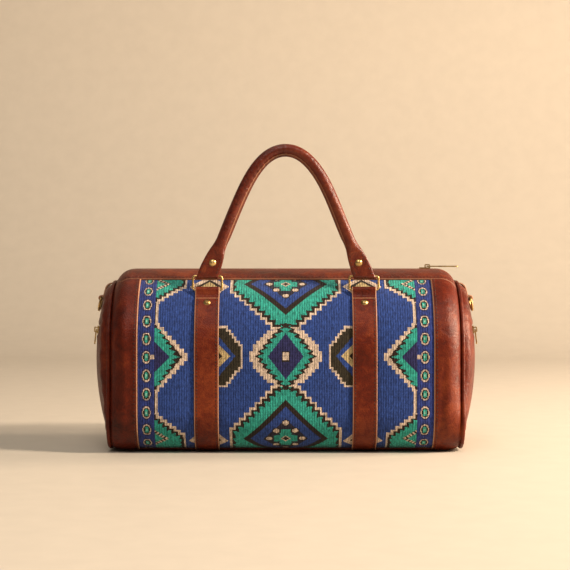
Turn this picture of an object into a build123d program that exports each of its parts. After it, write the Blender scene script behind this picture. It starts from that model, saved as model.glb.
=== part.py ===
from build123d import *
import os
from math import asin, atan2, cos, degrees, hypot, radians, sin, tan

# Carpet bag: a kilim-and-leather duffel with rolled handles on brass rings, in millimetres.
# The origin is the middle of the base's flat underside. +X runs along the bag, front faces -Y, +Z is up.

# Body
BODY_LENGTH = 446.0
BODY_DEPTH = 240.0
BODY_HEIGHT = 234.0
TOP_FLAT = 28.0
BASE_RADIUS = 55.0
END_RADIUS = 24.0
SEAM_INSET = 18.0

# Layers, from the outside in
LEATHER = 2.2
KILIM = 2.0
LINING = 1.0
STRAP = 3.2
GAP = 0.2
OVERRUN = 10.0

# Seams between the panels; angles are measured up the shoulder and down the base corner
ZIP_BAND_ANGLE = 62.0
BASE_ANGLE = 72.0
LAP = 8.0
BAND_WIDTH = 36.0

# End panels and piping
PANEL_BULGE = 27.0
PANEL_RIM = 2.8
PANEL_EDGE = 8.0
PANEL_TUCK = 4.0
PIPING = 5.0

# Straps, rings and rivets
STRAP_WIDTH = 31.0
STRAP_SPACING = 200.0
RING_ANGLE = 47.5
RING_WIRE = 2.8
RING_WIDTH = 37.0
RING_HEIGHT = 17.5
RING_CORNER = 2.8
LOOP_LEATHER = 2.2
RUNNING = 0.4
RIVET_HEAD = 9.0
RIVET_DOME = 2.0
RIVET_SHANK = 3.0
RIVET_DROP = 20.0
RING_FOLD = 116.0

# Handles
HANDLE_DIAMETER = 14.5
HANDLE_WALL = 2.5
HANDLE_RISE = 162.0
ARCH_RADIUS = 52.0
TAB_WIDTH = 28.0
TAB_NECK = 23.0
TAB_LENGTH = 26.0
TAB_RIVET = 17.0
FLARE = 24.0
HANDLE_FOLD = 24.0
BEND_AT = 84.0
BEND_RADIUS = 104.0
BEND_ANGLE = 35.0

# Main zip
ZIP_END = 27.0
ZIP_SLOT = 14.0
TAPE_WIDTH = 15.0
TAPE = 0.8
TOOTH_PITCH = 6.0
TOOTH_WIDTH = 2.2
TOOTH_REACH = 1.4
TOOTH_ROOT = 2.6
ROW_WIDTH = 1.9
TOOTH_HEIGHT = 2.2
STOP_LENGTH = 4.0
SLIDER_LENGTH = 14.0
SLIDER_WALL = 1.4
SLIDER_BACK = 4.0
BRIDGE_WIDTH = 3.4
BRIDGE_LENGTH = 7.0
PULL_BAR = 1.6
PULL_PLAY = 0.6
PULL_LENGTH = 42.0
PULL_WIDTH = 9.0
PULL_WINDOW = 6.0
PULL_HOLE = 3.0

# End pockets
POCKET_BELOW_TOP = 79.0
POCKET_ZIP = 130.0
POCKET_SLOT = 11.0
COIL_WIDTH = 5.0
COIL_HEIGHT = 2.0
POCKET_TAPE = 18.0
POCKET_SLIDER = 9.0
POCKET_SLIDER_PLACE = 52.0
POCKET_PULL = 20.0
POCKET_PULL_WIDTH = 6.5
POCKET_FLOOR = 62.0
POCKET_GUSSET = 9.0

# Tabs and D-rings at the ends
END_TAB_WIDTH = 19.0
END_TAB = 2.0
END_TAB_ANGLE = 13.5
D_RING_WIRE = 2.8
D_RING_WIDTH = 24.0
D_RING_DROP = 17.0
D_RING_CORNER = 4.0

# Base board inside the lining
BOARD = 2.5
BOARD_MARGIN = 4.0
BOARD_CORNER = 12.0

# Derived places
SEAM_X = BODY_LENGTH / 2
TOP_RADIUS = (BODY_DEPTH - TOP_FLAT) / 2
SHOULDER_Y = TOP_FLAT / 2
SHOULDER_Z = BODY_HEIGHT - TOP_RADIUS
BASE_CENTRE_Y = BODY_DEPTH / 2 - BASE_RADIUS
FAR = BODY_LENGTH
KILIM_SKIN = LEATHER + GAP
KILIM_BACK = KILIM_SKIN + KILIM
LINING_SKIN = KILIM_BACK + GAP
LINING_BACK = LINING_SKIN + LINING
STRAP_SKIN = LEATHER - STRAP
LOOP_BORE = RING_WIRE / 2 + RUNNING
LOOP_RADIUS = LOOP_BORE + LOOP_LEATHER
RING_REACH = TOP_RADIUS - LEATHER + LOOP_RADIUS
STRAP_X = STRAP_SPACING / 2
PANEL_INSET = SEAM_INSET + PIPING / 2 + GAP
KILIM_LENGTH = BODY_LENGTH - 2 * BAND_WIDTH
ZIP_LENGTH = BODY_LENGTH - 2 * ZIP_END
POCKET_HEIGHT = BODY_HEIGHT - POCKET_BELOW_TOP
POCKET_DROP = POCKET_HEIGHT - POCKET_TAPE / 2 - POCKET_FLOOR
DOME_Z = BODY_HEIGHT / 2
DOME_DROP = PANEL_BULGE - PANEL_RIM
RIM_REACH = hypot(BASE_CENTRE_Y, DOME_Z - BASE_RADIUS) + BASE_RADIUS - PANEL_INSET
DOME_RADIUS = (RIM_REACH ** 2 + DOME_DROP ** 2) / (2 * DOME_DROP)
DOME_X = SEAM_X + PANEL_BULGE - DOME_RADIUS
POCKET_TILT = degrees(asin((POCKET_HEIGHT - DOME_Z) / DOME_RADIUS))


def section(inset):
    """The bag's cross-section, drawn in by inset: a box with round shoulders and base corners."""
    block = Pos(0, BODY_HEIGHT / 2) * Rectangle(BODY_DEPTH - 2 * inset, BODY_HEIGHT - 2 * inset)
    block = fillet(block.vertices().group_by(Axis.Y)[0], BASE_RADIUS - inset)
    return fillet(block.vertices().group_by(Axis.Y)[-1], TOP_RADIUS - inset)


def along(face, half):
    """A face of the cross-section run along the bag, half to each side of the middle."""
    return extrude(Plane.YZ * face, half, both=True)


def body_form(inset):
    """The whole body, its end edges rounded, drawn in from the skin by inset."""
    form = along(section(inset), SEAM_X - inset)
    rims = form.edges().group_by(Axis.X)
    return fillet(rims[0] + rims[-1], END_RADIUS - inset)


def shoulder_point(reach, angle):
    """A point of the cross-section, reach out from the front shoulder's centre and angle up from level."""
    return (-SHOULDER_Y - reach * cos(radians(angle)), SHOULDER_Z + reach * sin(radians(angle)))


def base_point(reach, angle):
    """A point of the section, reach out from the front base corner's centre, angle down from level."""
    return (-BASE_CENTRE_Y - reach * cos(radians(angle)), BASE_RADIUS - reach * sin(radians(angle)))


def front_region(top_angle, base_angle):
    """The part of the cross-section's plane in front of the body, between a shoulder and a base angle."""
    top = shoulder_point(FAR, top_angle)
    base = base_point(FAR, base_angle)
    corners = [shoulder_point(0, 0), top, (-FAR, top[1]), (-FAR, base[1]), base, base_point(0, 0)]
    return make_face(Polyline(*corners, close=True))


def top_region(edge):
    """The plane over the front half of the top, from the zip band's seam to edge from the middle."""
    corners = [(-edge, SHOULDER_Z), shoulder_point(0, 0), shoulder_point(FAR, ZIP_BAND_ANGLE)]
    return make_face(Polyline(*corners, (-edge, corners[-1][1]), close=True))


def base_region():
    """The part of the plane under the base seams."""
    left = base_point(FAR, BASE_ANGLE)
    inner = base_point(0, 0)
    corners = [inner, left, (-left[0], left[1]), (-inner[0], inner[1])]
    return make_face(Polyline(*corners, close=True))


def arc_lap(radius):
    """The angle that the kilim's lap takes on an arc of this radius."""
    return degrees(LAP / radius)


def kilim_panel():
    """The front kilim, run under the leather along all four of its edges."""
    ring = section(KILIM_SKIN) - section(KILIM_BACK)
    region = front_region(ZIP_BAND_ANGLE + arc_lap(TOP_RADIUS), BASE_ANGLE + arc_lap(BASE_RADIUS))
    return along(ring & region, KILIM_LENGTH / 2 + LAP)


def leather_shell():
    """The body's leather skin, with the end openings cut inside the end seams."""
    skin = body_form(0) - body_form(LEATHER)
    return skin - along(section(SEAM_INSET), SEAM_X + OVERRUN)


def zip_band(shell):
    """The leather strip in front of the main zip, from its seam to the middle, less the zip's slot."""
    band = shell & along(top_region(GAP / 2), SEAM_X)
    slot = Box(ZIP_LENGTH + 2 * STOP_LENGTH, ZIP_SLOT, BODY_HEIGHT)
    return band - Pos(0, 0, BODY_HEIGHT) * slot


def side_band(shell):
    """The leather band at the right-hand end of the front kilim."""
    seam = degrees(GAP / TOP_RADIUS)
    region = front_region(ZIP_BAND_ANGLE - seam, BASE_ANGLE - seam)
    start = Plane.YZ.offset(KILIM_LENGTH / 2)
    return shell & extrude(start * region, BODY_LENGTH)


def dome(wall):
    """The end panel's closed form, drawn in from its skin by wall: the seam's outline under a wide ball."""
    depth = PANEL_TUCK + PANEL_BULGE
    block = extrude(Plane.YZ.offset(SEAM_X - PANEL_TUCK) * section(PANEL_INSET + wall), depth)
    ball = Pos(DOME_X, 0, DOME_Z) * Rot(0, 0, 180) * Sphere(DOME_RADIUS - wall)
    form = block & ball
    return fillet(form.faces().sort_by(Axis.X)[-1].edges(), PANEL_EDGE - wall)


def end_panel():
    """The right end: a padded leather panel with the slot of its pocket zip."""
    slot = Pos(SEAM_X, 0, POCKET_HEIGHT) * Box(BODY_LENGTH / 2, POCKET_ZIP + 2 * GAP, POCKET_SLOT)
    return dome(0) - dome(LEATHER) - slot


def wire_loop(outline, wire):
    """Round wire bent along the edge of a flat outline."""
    path = outline.face().outer_wire()
    return sweep(Plane(path @ 0, z_dir=path % 0) * Circle(wire / 2), path)


def piping():
    """The piped seam round the right end."""
    place = SEAM_X + PIPING / 2 - GAP
    return wire_loop(Plane.YZ.offset(place) * section(SEAM_INSET), PIPING)


def rivet(grip):
    """A domed rivet on the XY plane, its shank down through a grip of leather."""
    head = Circle(RIVET_HEAD / 2)
    dome_radius = (RIVET_HEAD ** 2 / 4 + RIVET_DOME ** 2) / (2 * RIVET_DOME)
    cap = extrude(head, RIVET_DOME) & Pos(0, 0, RIVET_DOME - dome_radius) * Sphere(dome_radius)
    return cap + Pos(0, 0, -grip / 2) * Cylinder(RIVET_SHANK / 2, grip)


def rivet_hole(grip):
    """The hole for a rivet's shank, down from the XY plane."""
    return Pos(0, 0, -grip / 2) * Cylinder(RIVET_SHANK / 2 + GAP / 2, grip + 2 * GAP)


def strap_rivet_place():
    """The place of a strap's rivet at the middle of the bag: on the strap's skin, square to it."""
    reach = TOP_RADIUS - STRAP_SKIN
    angle = RING_ANGLE - degrees(RIVET_DROP / reach)
    y, z = shoulder_point(reach, angle)
    out_y, out_z = shoulder_point(reach + RIVET_HEAD, angle)
    return Plane((0, y, z), x_dir=(1, 0, 0), z_dir=(0, out_y - y, out_z - z))


def strap():
    """A front strap at the middle of the bag: up from the base seam, and round its ring at the top."""
    ring = section(STRAP_SKIN) - section(LEATHER)
    flat = ring & front_region(RING_ANGLE, BASE_ANGLE)
    eye = Pos(*shoulder_point(RING_REACH, RING_ANGLE))
    profile = flat + eye * Circle(LOOP_RADIUS) - eye * Circle(LOOP_BORE)
    return along(profile, STRAP_WIDTH / 2) - strap_rivet_place() * rivet_hole(STRAP)


def ring_axis():
    """The front rings' turning line: the middle of the strap's loop."""
    y, z = shoulder_point(RING_REACH, RING_ANGLE)
    return Pos(0, y, z)


def wire_ring():
    """A ring standing on its lower bar, which lies along X through the origin."""
    outline = Plane.XZ * Pos(0, RING_HEIGHT / 2) * RectangleRounded(RING_WIDTH, RING_HEIGHT, RING_CORNER)
    return wire_loop(outline, RING_WIRE)


# A handle is drawn with its rings' upper bar along X through the origin, standing up in the XZ plane.
ARCH_Z = HANDLE_RISE - ARCH_RADIUS
LEG_LEAN = degrees(atan2(STRAP_X, ARCH_Z) - asin(ARCH_RADIUS / hypot(STRAP_X, ARCH_Z)))
LEG_START = TAB_LENGTH + FLARE


def leg_point(reach, bend=0):
    """A point on the right leg's line, reach up from the bar; past BEND_AT it turns forward by bend."""
    x = STRAP_X - reach * sin(radians(LEG_LEAN))
    rise = reach * cos(radians(LEG_LEAN))
    corner = min(rise, BEND_AT * cos(radians(LEG_LEAN)))
    beyond = rise - corner
    return Vector(x, -beyond * sin(radians(bend)), corner + beyond * cos(radians(bend)))


def mirrored(point):
    """The same point on the left leg."""
    return Vector(-point.X, point.Y, point.Z)


def handle_path(bend):
    """The middle line of a handle's roll, from flare to flare, with its legs turned forward by bend."""
    start = leg_point(LEG_START)
    apex = leg_point(STRAP_X / sin(radians(LEG_LEAN)), bend)
    if bend == 0:
        return FilletPolyline(start, apex, mirrored(start), radius=ARCH_RADIUS)
    corner = leg_point(BEND_AT)
    points = [start, corner, apex, mirrored(corner), mirrored(start)]
    return FilletPolyline(*points, radius=[BEND_RADIUS, ARCH_RADIUS, BEND_RADIUS])


def roll(path, diameter):
    """A round roll along a handle's path."""
    return sweep(Plane(path @ 0, z_dir=path % 0) * Circle(diameter / 2), path)


def handle_tab():
    """A handle's flat right end: folded round the ring's bar, leaning with the leg, flared to the roll."""
    eye = Circle(LOOP_RADIUS) + Pos(0, TAB_LENGTH / 2) * Rectangle(2 * LOOP_RADIUS, TAB_LENGTH)
    strip = along(eye - Circle(LOOP_BORE), TAB_WIDTH)
    shift = TAB_LENGTH * tan(radians(LEG_LEAN))
    low = TAB_WIDTH / 2
    high = TAB_NECK / 2
    outline = Polyline((low, -LOOP_RADIUS), (low, LOOP_RADIUS), (high - shift, TAB_LENGTH),
                       (-high - shift, TAB_LENGTH), (-low, LOOP_RADIUS), (-low, -LOOP_RADIUS), close=True)
    flat = strip & extrude(Plane.XZ * make_face(outline), LOOP_RADIUS, both=True)
    foot = Plane.XY.offset(TAB_LENGTH) * Pos(-shift, 0) * Ellipse(high, LOOP_RADIUS)
    end = leg_point(LEG_START)
    leg = end - leg_point(0)
    across = (cos(radians(LEG_LEAN)), 0, sin(radians(LEG_LEAN)))
    mouth = Plane(end - Vector(STRAP_X, 0, 0), x_dir=across, z_dir=leg)
    flare = loft([foot, mouth * Circle(HANDLE_DIAMETER / 2)])
    return Pos(STRAP_X, 0, 0) * (flat + flare - tab_rivet_place() * rivet_hole(2 * LOOP_RADIUS))


def tab_rivet_place():
    """The place of a tab's rivet, measured from its loop: on the tab's front face."""
    x = -TAB_RIVET * tan(radians(LEG_LEAN))
    return Plane((x, -LOOP_RADIUS, TAB_RIVET), x_dir=(1, 0, 0), z_dir=(0, -1, 0))


def handle(bend):
    """A handle's leather, hollow along its roll."""
    path = handle_path(bend)
    tab = handle_tab()
    leather = roll(path, HANDLE_DIAMETER) + tab + mirror(tab, about=Plane.YZ)
    return leather - roll(path, HANDLE_DIAMETER - 2 * HANDLE_WALL)


def handle_core(bend):
    """The cord inside a handle's roll."""
    return roll(handle_path(bend), HANDLE_DIAMETER - 2 * HANDLE_WALL - 2 * GAP)


def handle_rivets():
    """The two rivets that close a handle's tabs round the rings."""
    right = Pos(STRAP_X, 0, 0) * tab_rivet_place() * rivet(2 * LOOP_RADIUS)
    return right, mirror(right, about=Plane.YZ)


def fold(angle):
    """A turn forward about X."""
    return Rot(angle, 0, 0)


def ring_place(angle):
    """Where the front rings stand, turned forward by angle."""
    return ring_axis() * fold(angle)


def handle_place(ring_angle, tab_angle):
    """Where the front handle stands on its rings."""
    return ring_place(ring_angle) * Pos(0, 0, RING_HEIGHT) * fold(tab_angle)


# The main zip lies on the flat top; its heights follow from the zip bands' skin.
TAPE_TOP = BODY_HEIGHT - LEATHER - GAP
TEETH_TOP = TAPE_TOP + TOOTH_HEIGHT
PLATE_Z = TEETH_TOP + RUNNING
BAR_Z = PLATE_Z + SLIDER_WALL + PULL_BAR / 2 + PULL_PLAY
SLIDER_X = ZIP_LENGTH / 2 - SLIDER_LENGTH / 2 - SLIDER_BACK
BAR_X = SLIDER_X + SLIDER_LENGTH / 2 - BRIDGE_LENGTH / 2


def zip_tape():
    """The front half of the main zip's tape."""
    length = ZIP_LENGTH + 2 * STOP_LENGTH
    return Pos(0, -TAPE_WIDTH / 2 - GAP / 2, TAPE_TOP - TAPE / 2) * Box(length, TAPE_WIDTH, TAPE)


def zip_teeth(start):
    """The front row of teeth, a comb along the tape's edge; its first tooth is start from the row's end."""
    root = Pos(0, -TOOTH_ROOT - ROW_WIDTH / 2) * Rectangle(ZIP_LENGTH, ROW_WIDTH)
    count = int((ZIP_LENGTH - TOOTH_PITCH) / TOOTH_PITCH)
    reach = TOOTH_ROOT + TOOTH_REACH + ROW_WIDTH / 2
    tooth = Rectangle(TOOTH_WIDTH, reach)
    first = start - ZIP_LENGTH / 2
    places = [Pos(first + step * TOOTH_PITCH, TOOTH_REACH - reach / 2) for step in range(count)]
    comb = root + [place * tooth for place in places]
    return extrude(Plane.XY.offset(TAPE_TOP) * comb, TOOTH_HEIGHT)


def zip_stops():
    """The two stops, clenched over both tapes at the ends of the rows."""
    width = 2 * (TOOTH_ROOT + ROW_WIDTH)
    block = Box(STOP_LENGTH, width, TOOTH_HEIGHT)
    place = ZIP_LENGTH / 2 + STOP_LENGTH / 2
    height = TAPE_TOP + TOOTH_HEIGHT / 2
    return [Pos(side * place, 0, height) * fillet(block.edges().filter_by(Axis.Z), ROW_WIDTH / 2)
            for side in (-1, 1)]


def slider_plan(length, width, taper):
    """A slider's plan: a plate that narrows towards the closed end of its zip."""
    return make_face(Polyline((-length / 2, -width / 2), (length / 2, -width / 2 + taper),
                              (length / 2, width / 2 - taper), (-length / 2, width / 2), close=True))


def bridge(length, width, rise):
    """The small arch that holds a pull's bar, standing on the XY plane."""
    outer = Pos(0, rise / 2) * Rectangle(length, rise)
    outer = fillet(outer.vertices().group_by(Axis.Y)[-1], SLIDER_WALL)
    inner = Pos(0, (rise - SLIDER_WALL) / 2) * Rectangle(length - 2 * SLIDER_WALL, rise - SLIDER_WALL)
    return extrude(Plane.XZ * (outer - inner), width / 2, both=True)


def zip_slider():
    """The main zip's slider: a plate over the teeth, flanges beside the rows, the pull's bridge on top."""
    width = ZIP_SLOT - 2 * RUNNING
    plate = extrude(slider_plan(SLIDER_LENGTH, width, ROW_WIDTH / 2), SLIDER_WALL)
    drop = TEETH_TOP + RUNNING - TAPE_TOP - RUNNING
    inner_y = TOOTH_ROOT + ROW_WIDTH + RUNNING
    wall = width / 2 - ROW_WIDTH / 2 - inner_y
    flange = Pos(0, inner_y + wall / 2, -drop / 2) * Box(SLIDER_LENGTH, wall, drop)
    rise = PULL_BAR + 2 * PULL_PLAY + SLIDER_WALL
    arch = Pos(BAR_X - SLIDER_X, 0, SLIDER_WALL) * bridge(BRIDGE_LENGTH, BRIDGE_WIDTH, rise)
    return Pos(SLIDER_X, 0, PLATE_Z) * (plate + flange + mirror(flange, about=Plane.XZ) + arch)


def pull(length, width, window):
    """A flat pull, its bar along Y through the origin and its tongue along X, with a hole near the tip."""
    plate = Pos(length / 2 - PULL_BAR / 2, 0) * Rectangle(length, width)
    plate = fillet(plate.vertices().group_by(Axis.X)[-1], width / 2 - GAP)
    eye = Pos(PULL_BAR / 2 + window / 2, 0) * Rectangle(window, BRIDGE_WIDTH + 2 * PULL_PLAY)
    hole = Pos(length - PULL_BAR / 2 - width / 2, 0) * Circle(PULL_HOLE / 2)
    return extrude(plate - eye - hole, PULL_BAR / 2, both=True)


# The right end's pocket zip turns with the dome, about the upright line through the dome's middle.
POCKET_AXIS = Axis((DOME_X, 0, 0), (0, 0, 1))
POCKET_SPREAD = degrees(asin(POCKET_ZIP / 2 / DOME_RADIUS))
POCKET_TURN = degrees(asin(POCKET_SLIDER_PLACE / DOME_RADIUS))


def dome_strip(outline):
    """An outline (out, up) on the dome's skin at the pocket's height, carried round by the zip's spread."""
    start = Plane.XZ * Pos(DOME_X, DOME_Z) * Rot(0, 0, POCKET_TILT) * Pos(DOME_RADIUS, 0) * outline
    return revolve(start.rotate(POCKET_AXIS, -POCKET_SPREAD), POCKET_AXIS, 2 * POCKET_SPREAD)


def pocket_tape():
    """The pocket zip's tape, behind the end panel."""
    back = LEATHER + 2 * GAP + TAPE / 2
    return dome_strip(Pos(-back, 0) * Rectangle(TAPE, POCKET_TAPE))


def pocket_coil():
    """The pocket zip's closed coil, on its tape in the panel's slot."""
    back = LEATHER + 2 * GAP
    return dome_strip(Pos(-back + COIL_HEIGHT / 2, 0) * Rectangle(COIL_HEIGHT, COIL_WIDTH))


def on_dome(shape):
    """A shape on the XY plane, set on the dome at the pocket slider's place, with +X down the end."""
    skin = Rot(0, -POCKET_TILT, 0) * Pos(DOME_RADIUS, 0, 0) * Rot(0, 90, 0) * shape
    return (Pos(DOME_X, 0, DOME_Z) * skin).rotate(POCKET_AXIS, -POCKET_TURN)


def pocket_slider():
    """The pocket zip's slider: a plate over the coil, flanges beside it, the pull's bridge on top."""
    width = POCKET_SLOT - 2 * RUNNING
    plate = extrude(Rectangle(width, POCKET_SLIDER), SLIDER_WALL)
    inner = COIL_WIDTH / 2 + RUNNING
    drop = COIL_HEIGHT - RUNNING
    flange = Pos(inner + SLIDER_WALL / 2, 0, -drop / 2) * Box(SLIDER_WALL, POCKET_SLIDER, drop)
    rise = PULL_BAR + 2 * PULL_PLAY + SLIDER_WALL
    arch = Pos(0, 0, SLIDER_WALL) * bridge(BRIDGE_LENGTH, BRIDGE_WIDTH, rise)
    base = COIL_HEIGHT - LEATHER - 2 * GAP + RUNNING
    return on_dome(Pos(0, 0, base) * (plate + flange + mirror(flange, about=Plane.YZ) + arch))


def pocket_pull():
    """The pocket zip's pull, hanging from the slider's bridge."""
    height = COIL_HEIGHT - LEATHER - 2 * GAP + RUNNING + SLIDER_WALL + PULL_PLAY + PULL_BAR / 2
    return on_dome(Pos(0, 0, height) * pull(POCKET_PULL, POCKET_PULL_WIDTH, PULL_WINDOW))


def pocket_bag():
    """The pocket's cloth pouch, hung behind the end panel from just above the zip."""
    height = POCKET_DROP + POCKET_TAPE
    back = LEATHER + 2 * GAP + TAPE
    reach = (DOME_RADIUS - back) * cos(radians(POCKET_TILT)) - POCKET_TAPE / 2 * sin(radians(POCKET_TILT))
    front = DOME_X + reach * cos(radians(POCKET_SPREAD)) - GAP
    pouch = Box(POCKET_GUSSET, POCKET_ZIP, height)
    hollow = Pos(LINING, 0, 0) * Box(POCKET_GUSSET, POCKET_ZIP - 2 * LINING, height - 2 * LINING)
    middle = POCKET_HEIGHT + POCKET_TAPE / 2 - height / 2
    return Pos(front - POCKET_GUSSET / 2, 0, middle) * (pouch - hollow)


# The end tabs lie on the end panel's edge and hold the D-rings against the dome.
D_BORE = D_RING_WIRE / 2 + RUNNING
D_LOOP = D_BORE + END_TAB
D_REACH = DOME_RADIUS + GAP + D_LOOP
EDGE_Z = BODY_HEIGHT - PANEL_INSET - PANEL_EDGE
EDGE_X = DOME_X + ((DOME_RADIUS - PANEL_EDGE) ** 2 - (EDGE_Z - DOME_Z) ** 2) ** 0.5
EDGE_ANGLE = degrees(atan2(EDGE_Z - DOME_Z, EDGE_X - DOME_X))


def dome_point(reach, angle):
    """A point of the right end's middle plane, reach out from the dome's middle and angle up from level."""
    return (DOME_X + reach * cos(radians(angle)), DOME_Z + reach * sin(radians(angle)))


def arc_strip(centre, inner, outer, low, high):
    """A flat strip bent round centre between two radii, from the angle low to the angle high."""
    reach = 2 * outer
    span = radians(high - low)
    corner = reach / cos(span / 2)
    middle = radians((low + high) / 2)
    start = (reach * cos(radians(low)), reach * sin(radians(low)))
    turn = (corner * cos(middle), corner * sin(middle))
    end = (reach * cos(radians(high)), reach * sin(radians(high)))
    wedge = make_face(Polyline((0, 0), start, turn, end, close=True))
    return Pos(*centre) * ((Circle(outer) - Circle(inner)) & wedge)


def end_tab():
    """The right end's leather tab: over the end panel's edge, down the dome and round the D-ring's bar."""
    over = arc_strip((EDGE_X, EDGE_Z), PANEL_EDGE + GAP, PANEL_EDGE + GAP + END_TAB, EDGE_ANGLE, 90)
    skin = DOME_RADIUS + GAP
    down = arc_strip((DOME_X, DOME_Z), skin, skin + END_TAB, END_TAB_ANGLE, EDGE_ANGLE)
    eye = Pos(*dome_point(D_REACH, END_TAB_ANGLE))
    profile = over + down + eye * Circle(D_LOOP) - eye * Circle(D_BORE)
    return extrude(Plane.XZ * profile, END_TAB_WIDTH / 2, both=True)


def d_ring():
    """The right end's D-ring: its bar in the tab's loop, its bow down along the dome."""
    half = D_RING_WIDTH / 2
    bow = make_face([Line((-half, 0), (half, 0)), ThreePointArc((half, 0), (0, -D_RING_DROP), (-half, 0))])
    bow = fillet(bow.vertices(), D_RING_CORNER)
    x, z = dome_point(D_REACH, END_TAB_ANGLE)
    lean = radians(END_TAB_ANGLE)
    place = Plane((x, 0, z), x_dir=(0, 1, 0), z_dir=(cos(lean), 0, sin(lean)))
    return wire_loop(place * bow, D_RING_WIRE)


def lining():
    """The lining: a closed cloth bag inside the skin, open along the zip."""
    bag = body_form(LINING_SKIN) - body_form(LINING_BACK)
    mouth = Box(ZIP_LENGTH, 2 * TAPE_WIDTH, SHOULDER_Z)
    return bag - Pos(0, 0, BODY_HEIGHT) * mouth


def base_board():
    """The stiff board that lies in the bottom of the lining."""
    length = BODY_LENGTH - 2 * (END_RADIUS + BOARD_MARGIN)
    width = 2 * (BASE_CENTRE_Y - BOARD_MARGIN)
    plan = Plane.XY.offset(LINING_BACK + GAP) * RectangleRounded(length, width, BOARD_CORNER)
    return extrude(plan, BOARD)


def left_and_right(name, right):
    """A pair of nodes that mirror each other across the middle of the bag's length."""
    return {"left_" + name: mirror(right, about=Plane.YZ), "right_" + name: right}


def front_and_back(name, front):
    """A pair of nodes that mirror each other across the middle of the bag's depth."""
    return {"front_" + name: front, "back_" + name: mirror(front, about=Plane.XZ)}


def body_nodes():
    """The sewn body: panels, bands, piping, lining and board."""
    shell = leather_shell()
    nodes = front_and_back("kilim_panel", kilim_panel())
    nodes["base_panel"] = shell & along(base_region(), SEAM_X)
    right = side_band(shell)
    nodes.update(front_and_back("right_band", right))
    nodes.update(front_and_back("left_band", mirror(right, about=Plane.YZ)))
    nodes.update(front_and_back("zip_band", zip_band(shell)))
    nodes.update(left_and_right("end_panel", end_panel()))
    nodes.update(left_and_right("piping", piping()))
    nodes["lining"] = lining()
    nodes["base_board"] = base_board()
    return nodes


def strap_nodes():
    """The four straps and their rivets."""
    nodes = {}
    rivets = []
    for side, place in (("left", -STRAP_X), ("right", STRAP_X)):
        nodes.update(front_and_back(side + "_strap", Pos(place, 0, 0) * strap()))
        front = Pos(place, 0, 0) * strap_rivet_place() * rivet(STRAP)
        rivets += [front, mirror(front, about=Plane.XZ)]
    nodes["strap_rivets"] = Compound(children=rivets)
    return nodes


def handle_nodes():
    """The rings and handles: the front handle stands up, and the back one hangs down behind the bag."""
    nodes = {}
    for side, place in (("left", -STRAP_X), ("right", STRAP_X)):
        nodes["front_" + side + "_ring"] = Pos(place, 0, 0) * ring_place(0) * wire_ring()
        hanging = Pos(place, 0, 0) * ring_place(RING_FOLD) * wire_ring()
        nodes["back_" + side + "_ring"] = mirror(hanging, about=Plane.XZ)
    up = handle_place(0, 0)
    down = handle_place(RING_FOLD, HANDLE_FOLD)
    nodes["front_handle"] = up * handle(0)
    nodes["front_handle_core"] = up * handle_core(0)
    nodes["front_handle_rivets"] = Compound(children=[up * one for one in handle_rivets()])
    nodes["back_handle"] = mirror(down * handle(BEND_ANGLE), about=Plane.XZ)
    nodes["back_handle_core"] = mirror(down * handle_core(BEND_ANGLE), about=Plane.XZ)
    hanging = [mirror(down * one, about=Plane.XZ) for one in handle_rivets()]
    nodes["back_handle_rivets"] = Compound(children=hanging)
    return nodes


def zip_nodes():
    """The main zip: tapes, toothed rows, stops, slider and pull."""
    nodes = front_and_back("tape", zip_tape())
    nodes["front_teeth"] = zip_teeth(TOOTH_PITCH / 2)
    nodes["back_teeth"] = mirror(zip_teeth(TOOTH_PITCH), about=Plane.XZ)
    nodes["stops"] = Compound(children=zip_stops())
    nodes["slider"] = zip_slider()
    nodes["pull"] = Pos(BAR_X, 0, BAR_Z) * pull(PULL_LENGTH, PULL_WIDTH, PULL_WINDOW)
    return {"main_zip_" + name: shape for name, shape in nodes.items()}


def end_nodes():
    """What the end panels carry: the pockets, the tabs and the D-rings."""
    nodes = left_and_right("pocket_tape", pocket_tape())
    nodes.update(left_and_right("pocket_coil", pocket_coil()))
    nodes.update(left_and_right("pocket_slider", pocket_slider()))
    nodes.update(left_and_right("pocket_pull", pocket_pull()))
    nodes.update(left_and_right("pocket_bag", pocket_bag()))
    nodes.update(left_and_right("ring_tab", end_tab()))
    nodes.update(left_and_right("d_ring", d_ring()))
    return nodes


def main():
    """Build every node and write it to its own file."""
    os.makedirs("parts", exist_ok=True)
    nodes = body_nodes() | strap_nodes() | handle_nodes() | zip_nodes() | end_nodes()
    for name, shape in nodes.items():
        export_step(shape, f"parts/{name}.step")


main()
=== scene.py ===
"""Dresses the carpet bag: woven kilim, leather trim, rolled handles and brass, all in the bag's own frame."""
import logging
import math
from dataclasses import dataclass, field
from enum import Enum

import bmesh
import bpy
import numpy as np
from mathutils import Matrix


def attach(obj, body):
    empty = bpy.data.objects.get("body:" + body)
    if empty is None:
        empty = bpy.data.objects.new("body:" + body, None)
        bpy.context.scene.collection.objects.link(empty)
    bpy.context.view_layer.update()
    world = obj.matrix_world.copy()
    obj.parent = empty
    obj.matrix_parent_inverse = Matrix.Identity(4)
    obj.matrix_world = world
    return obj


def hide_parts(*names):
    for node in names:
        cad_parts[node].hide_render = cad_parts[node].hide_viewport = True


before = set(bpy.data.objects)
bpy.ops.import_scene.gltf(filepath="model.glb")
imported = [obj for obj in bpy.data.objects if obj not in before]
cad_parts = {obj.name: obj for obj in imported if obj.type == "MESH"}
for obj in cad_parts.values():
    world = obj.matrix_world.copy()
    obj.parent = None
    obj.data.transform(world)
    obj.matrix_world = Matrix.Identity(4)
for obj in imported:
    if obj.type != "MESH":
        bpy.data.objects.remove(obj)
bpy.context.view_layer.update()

LOG = logging.getLogger("carpet_bag")
MM = 0.001
TURN = 2 * math.pi
QUARTER = math.pi / 2
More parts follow.
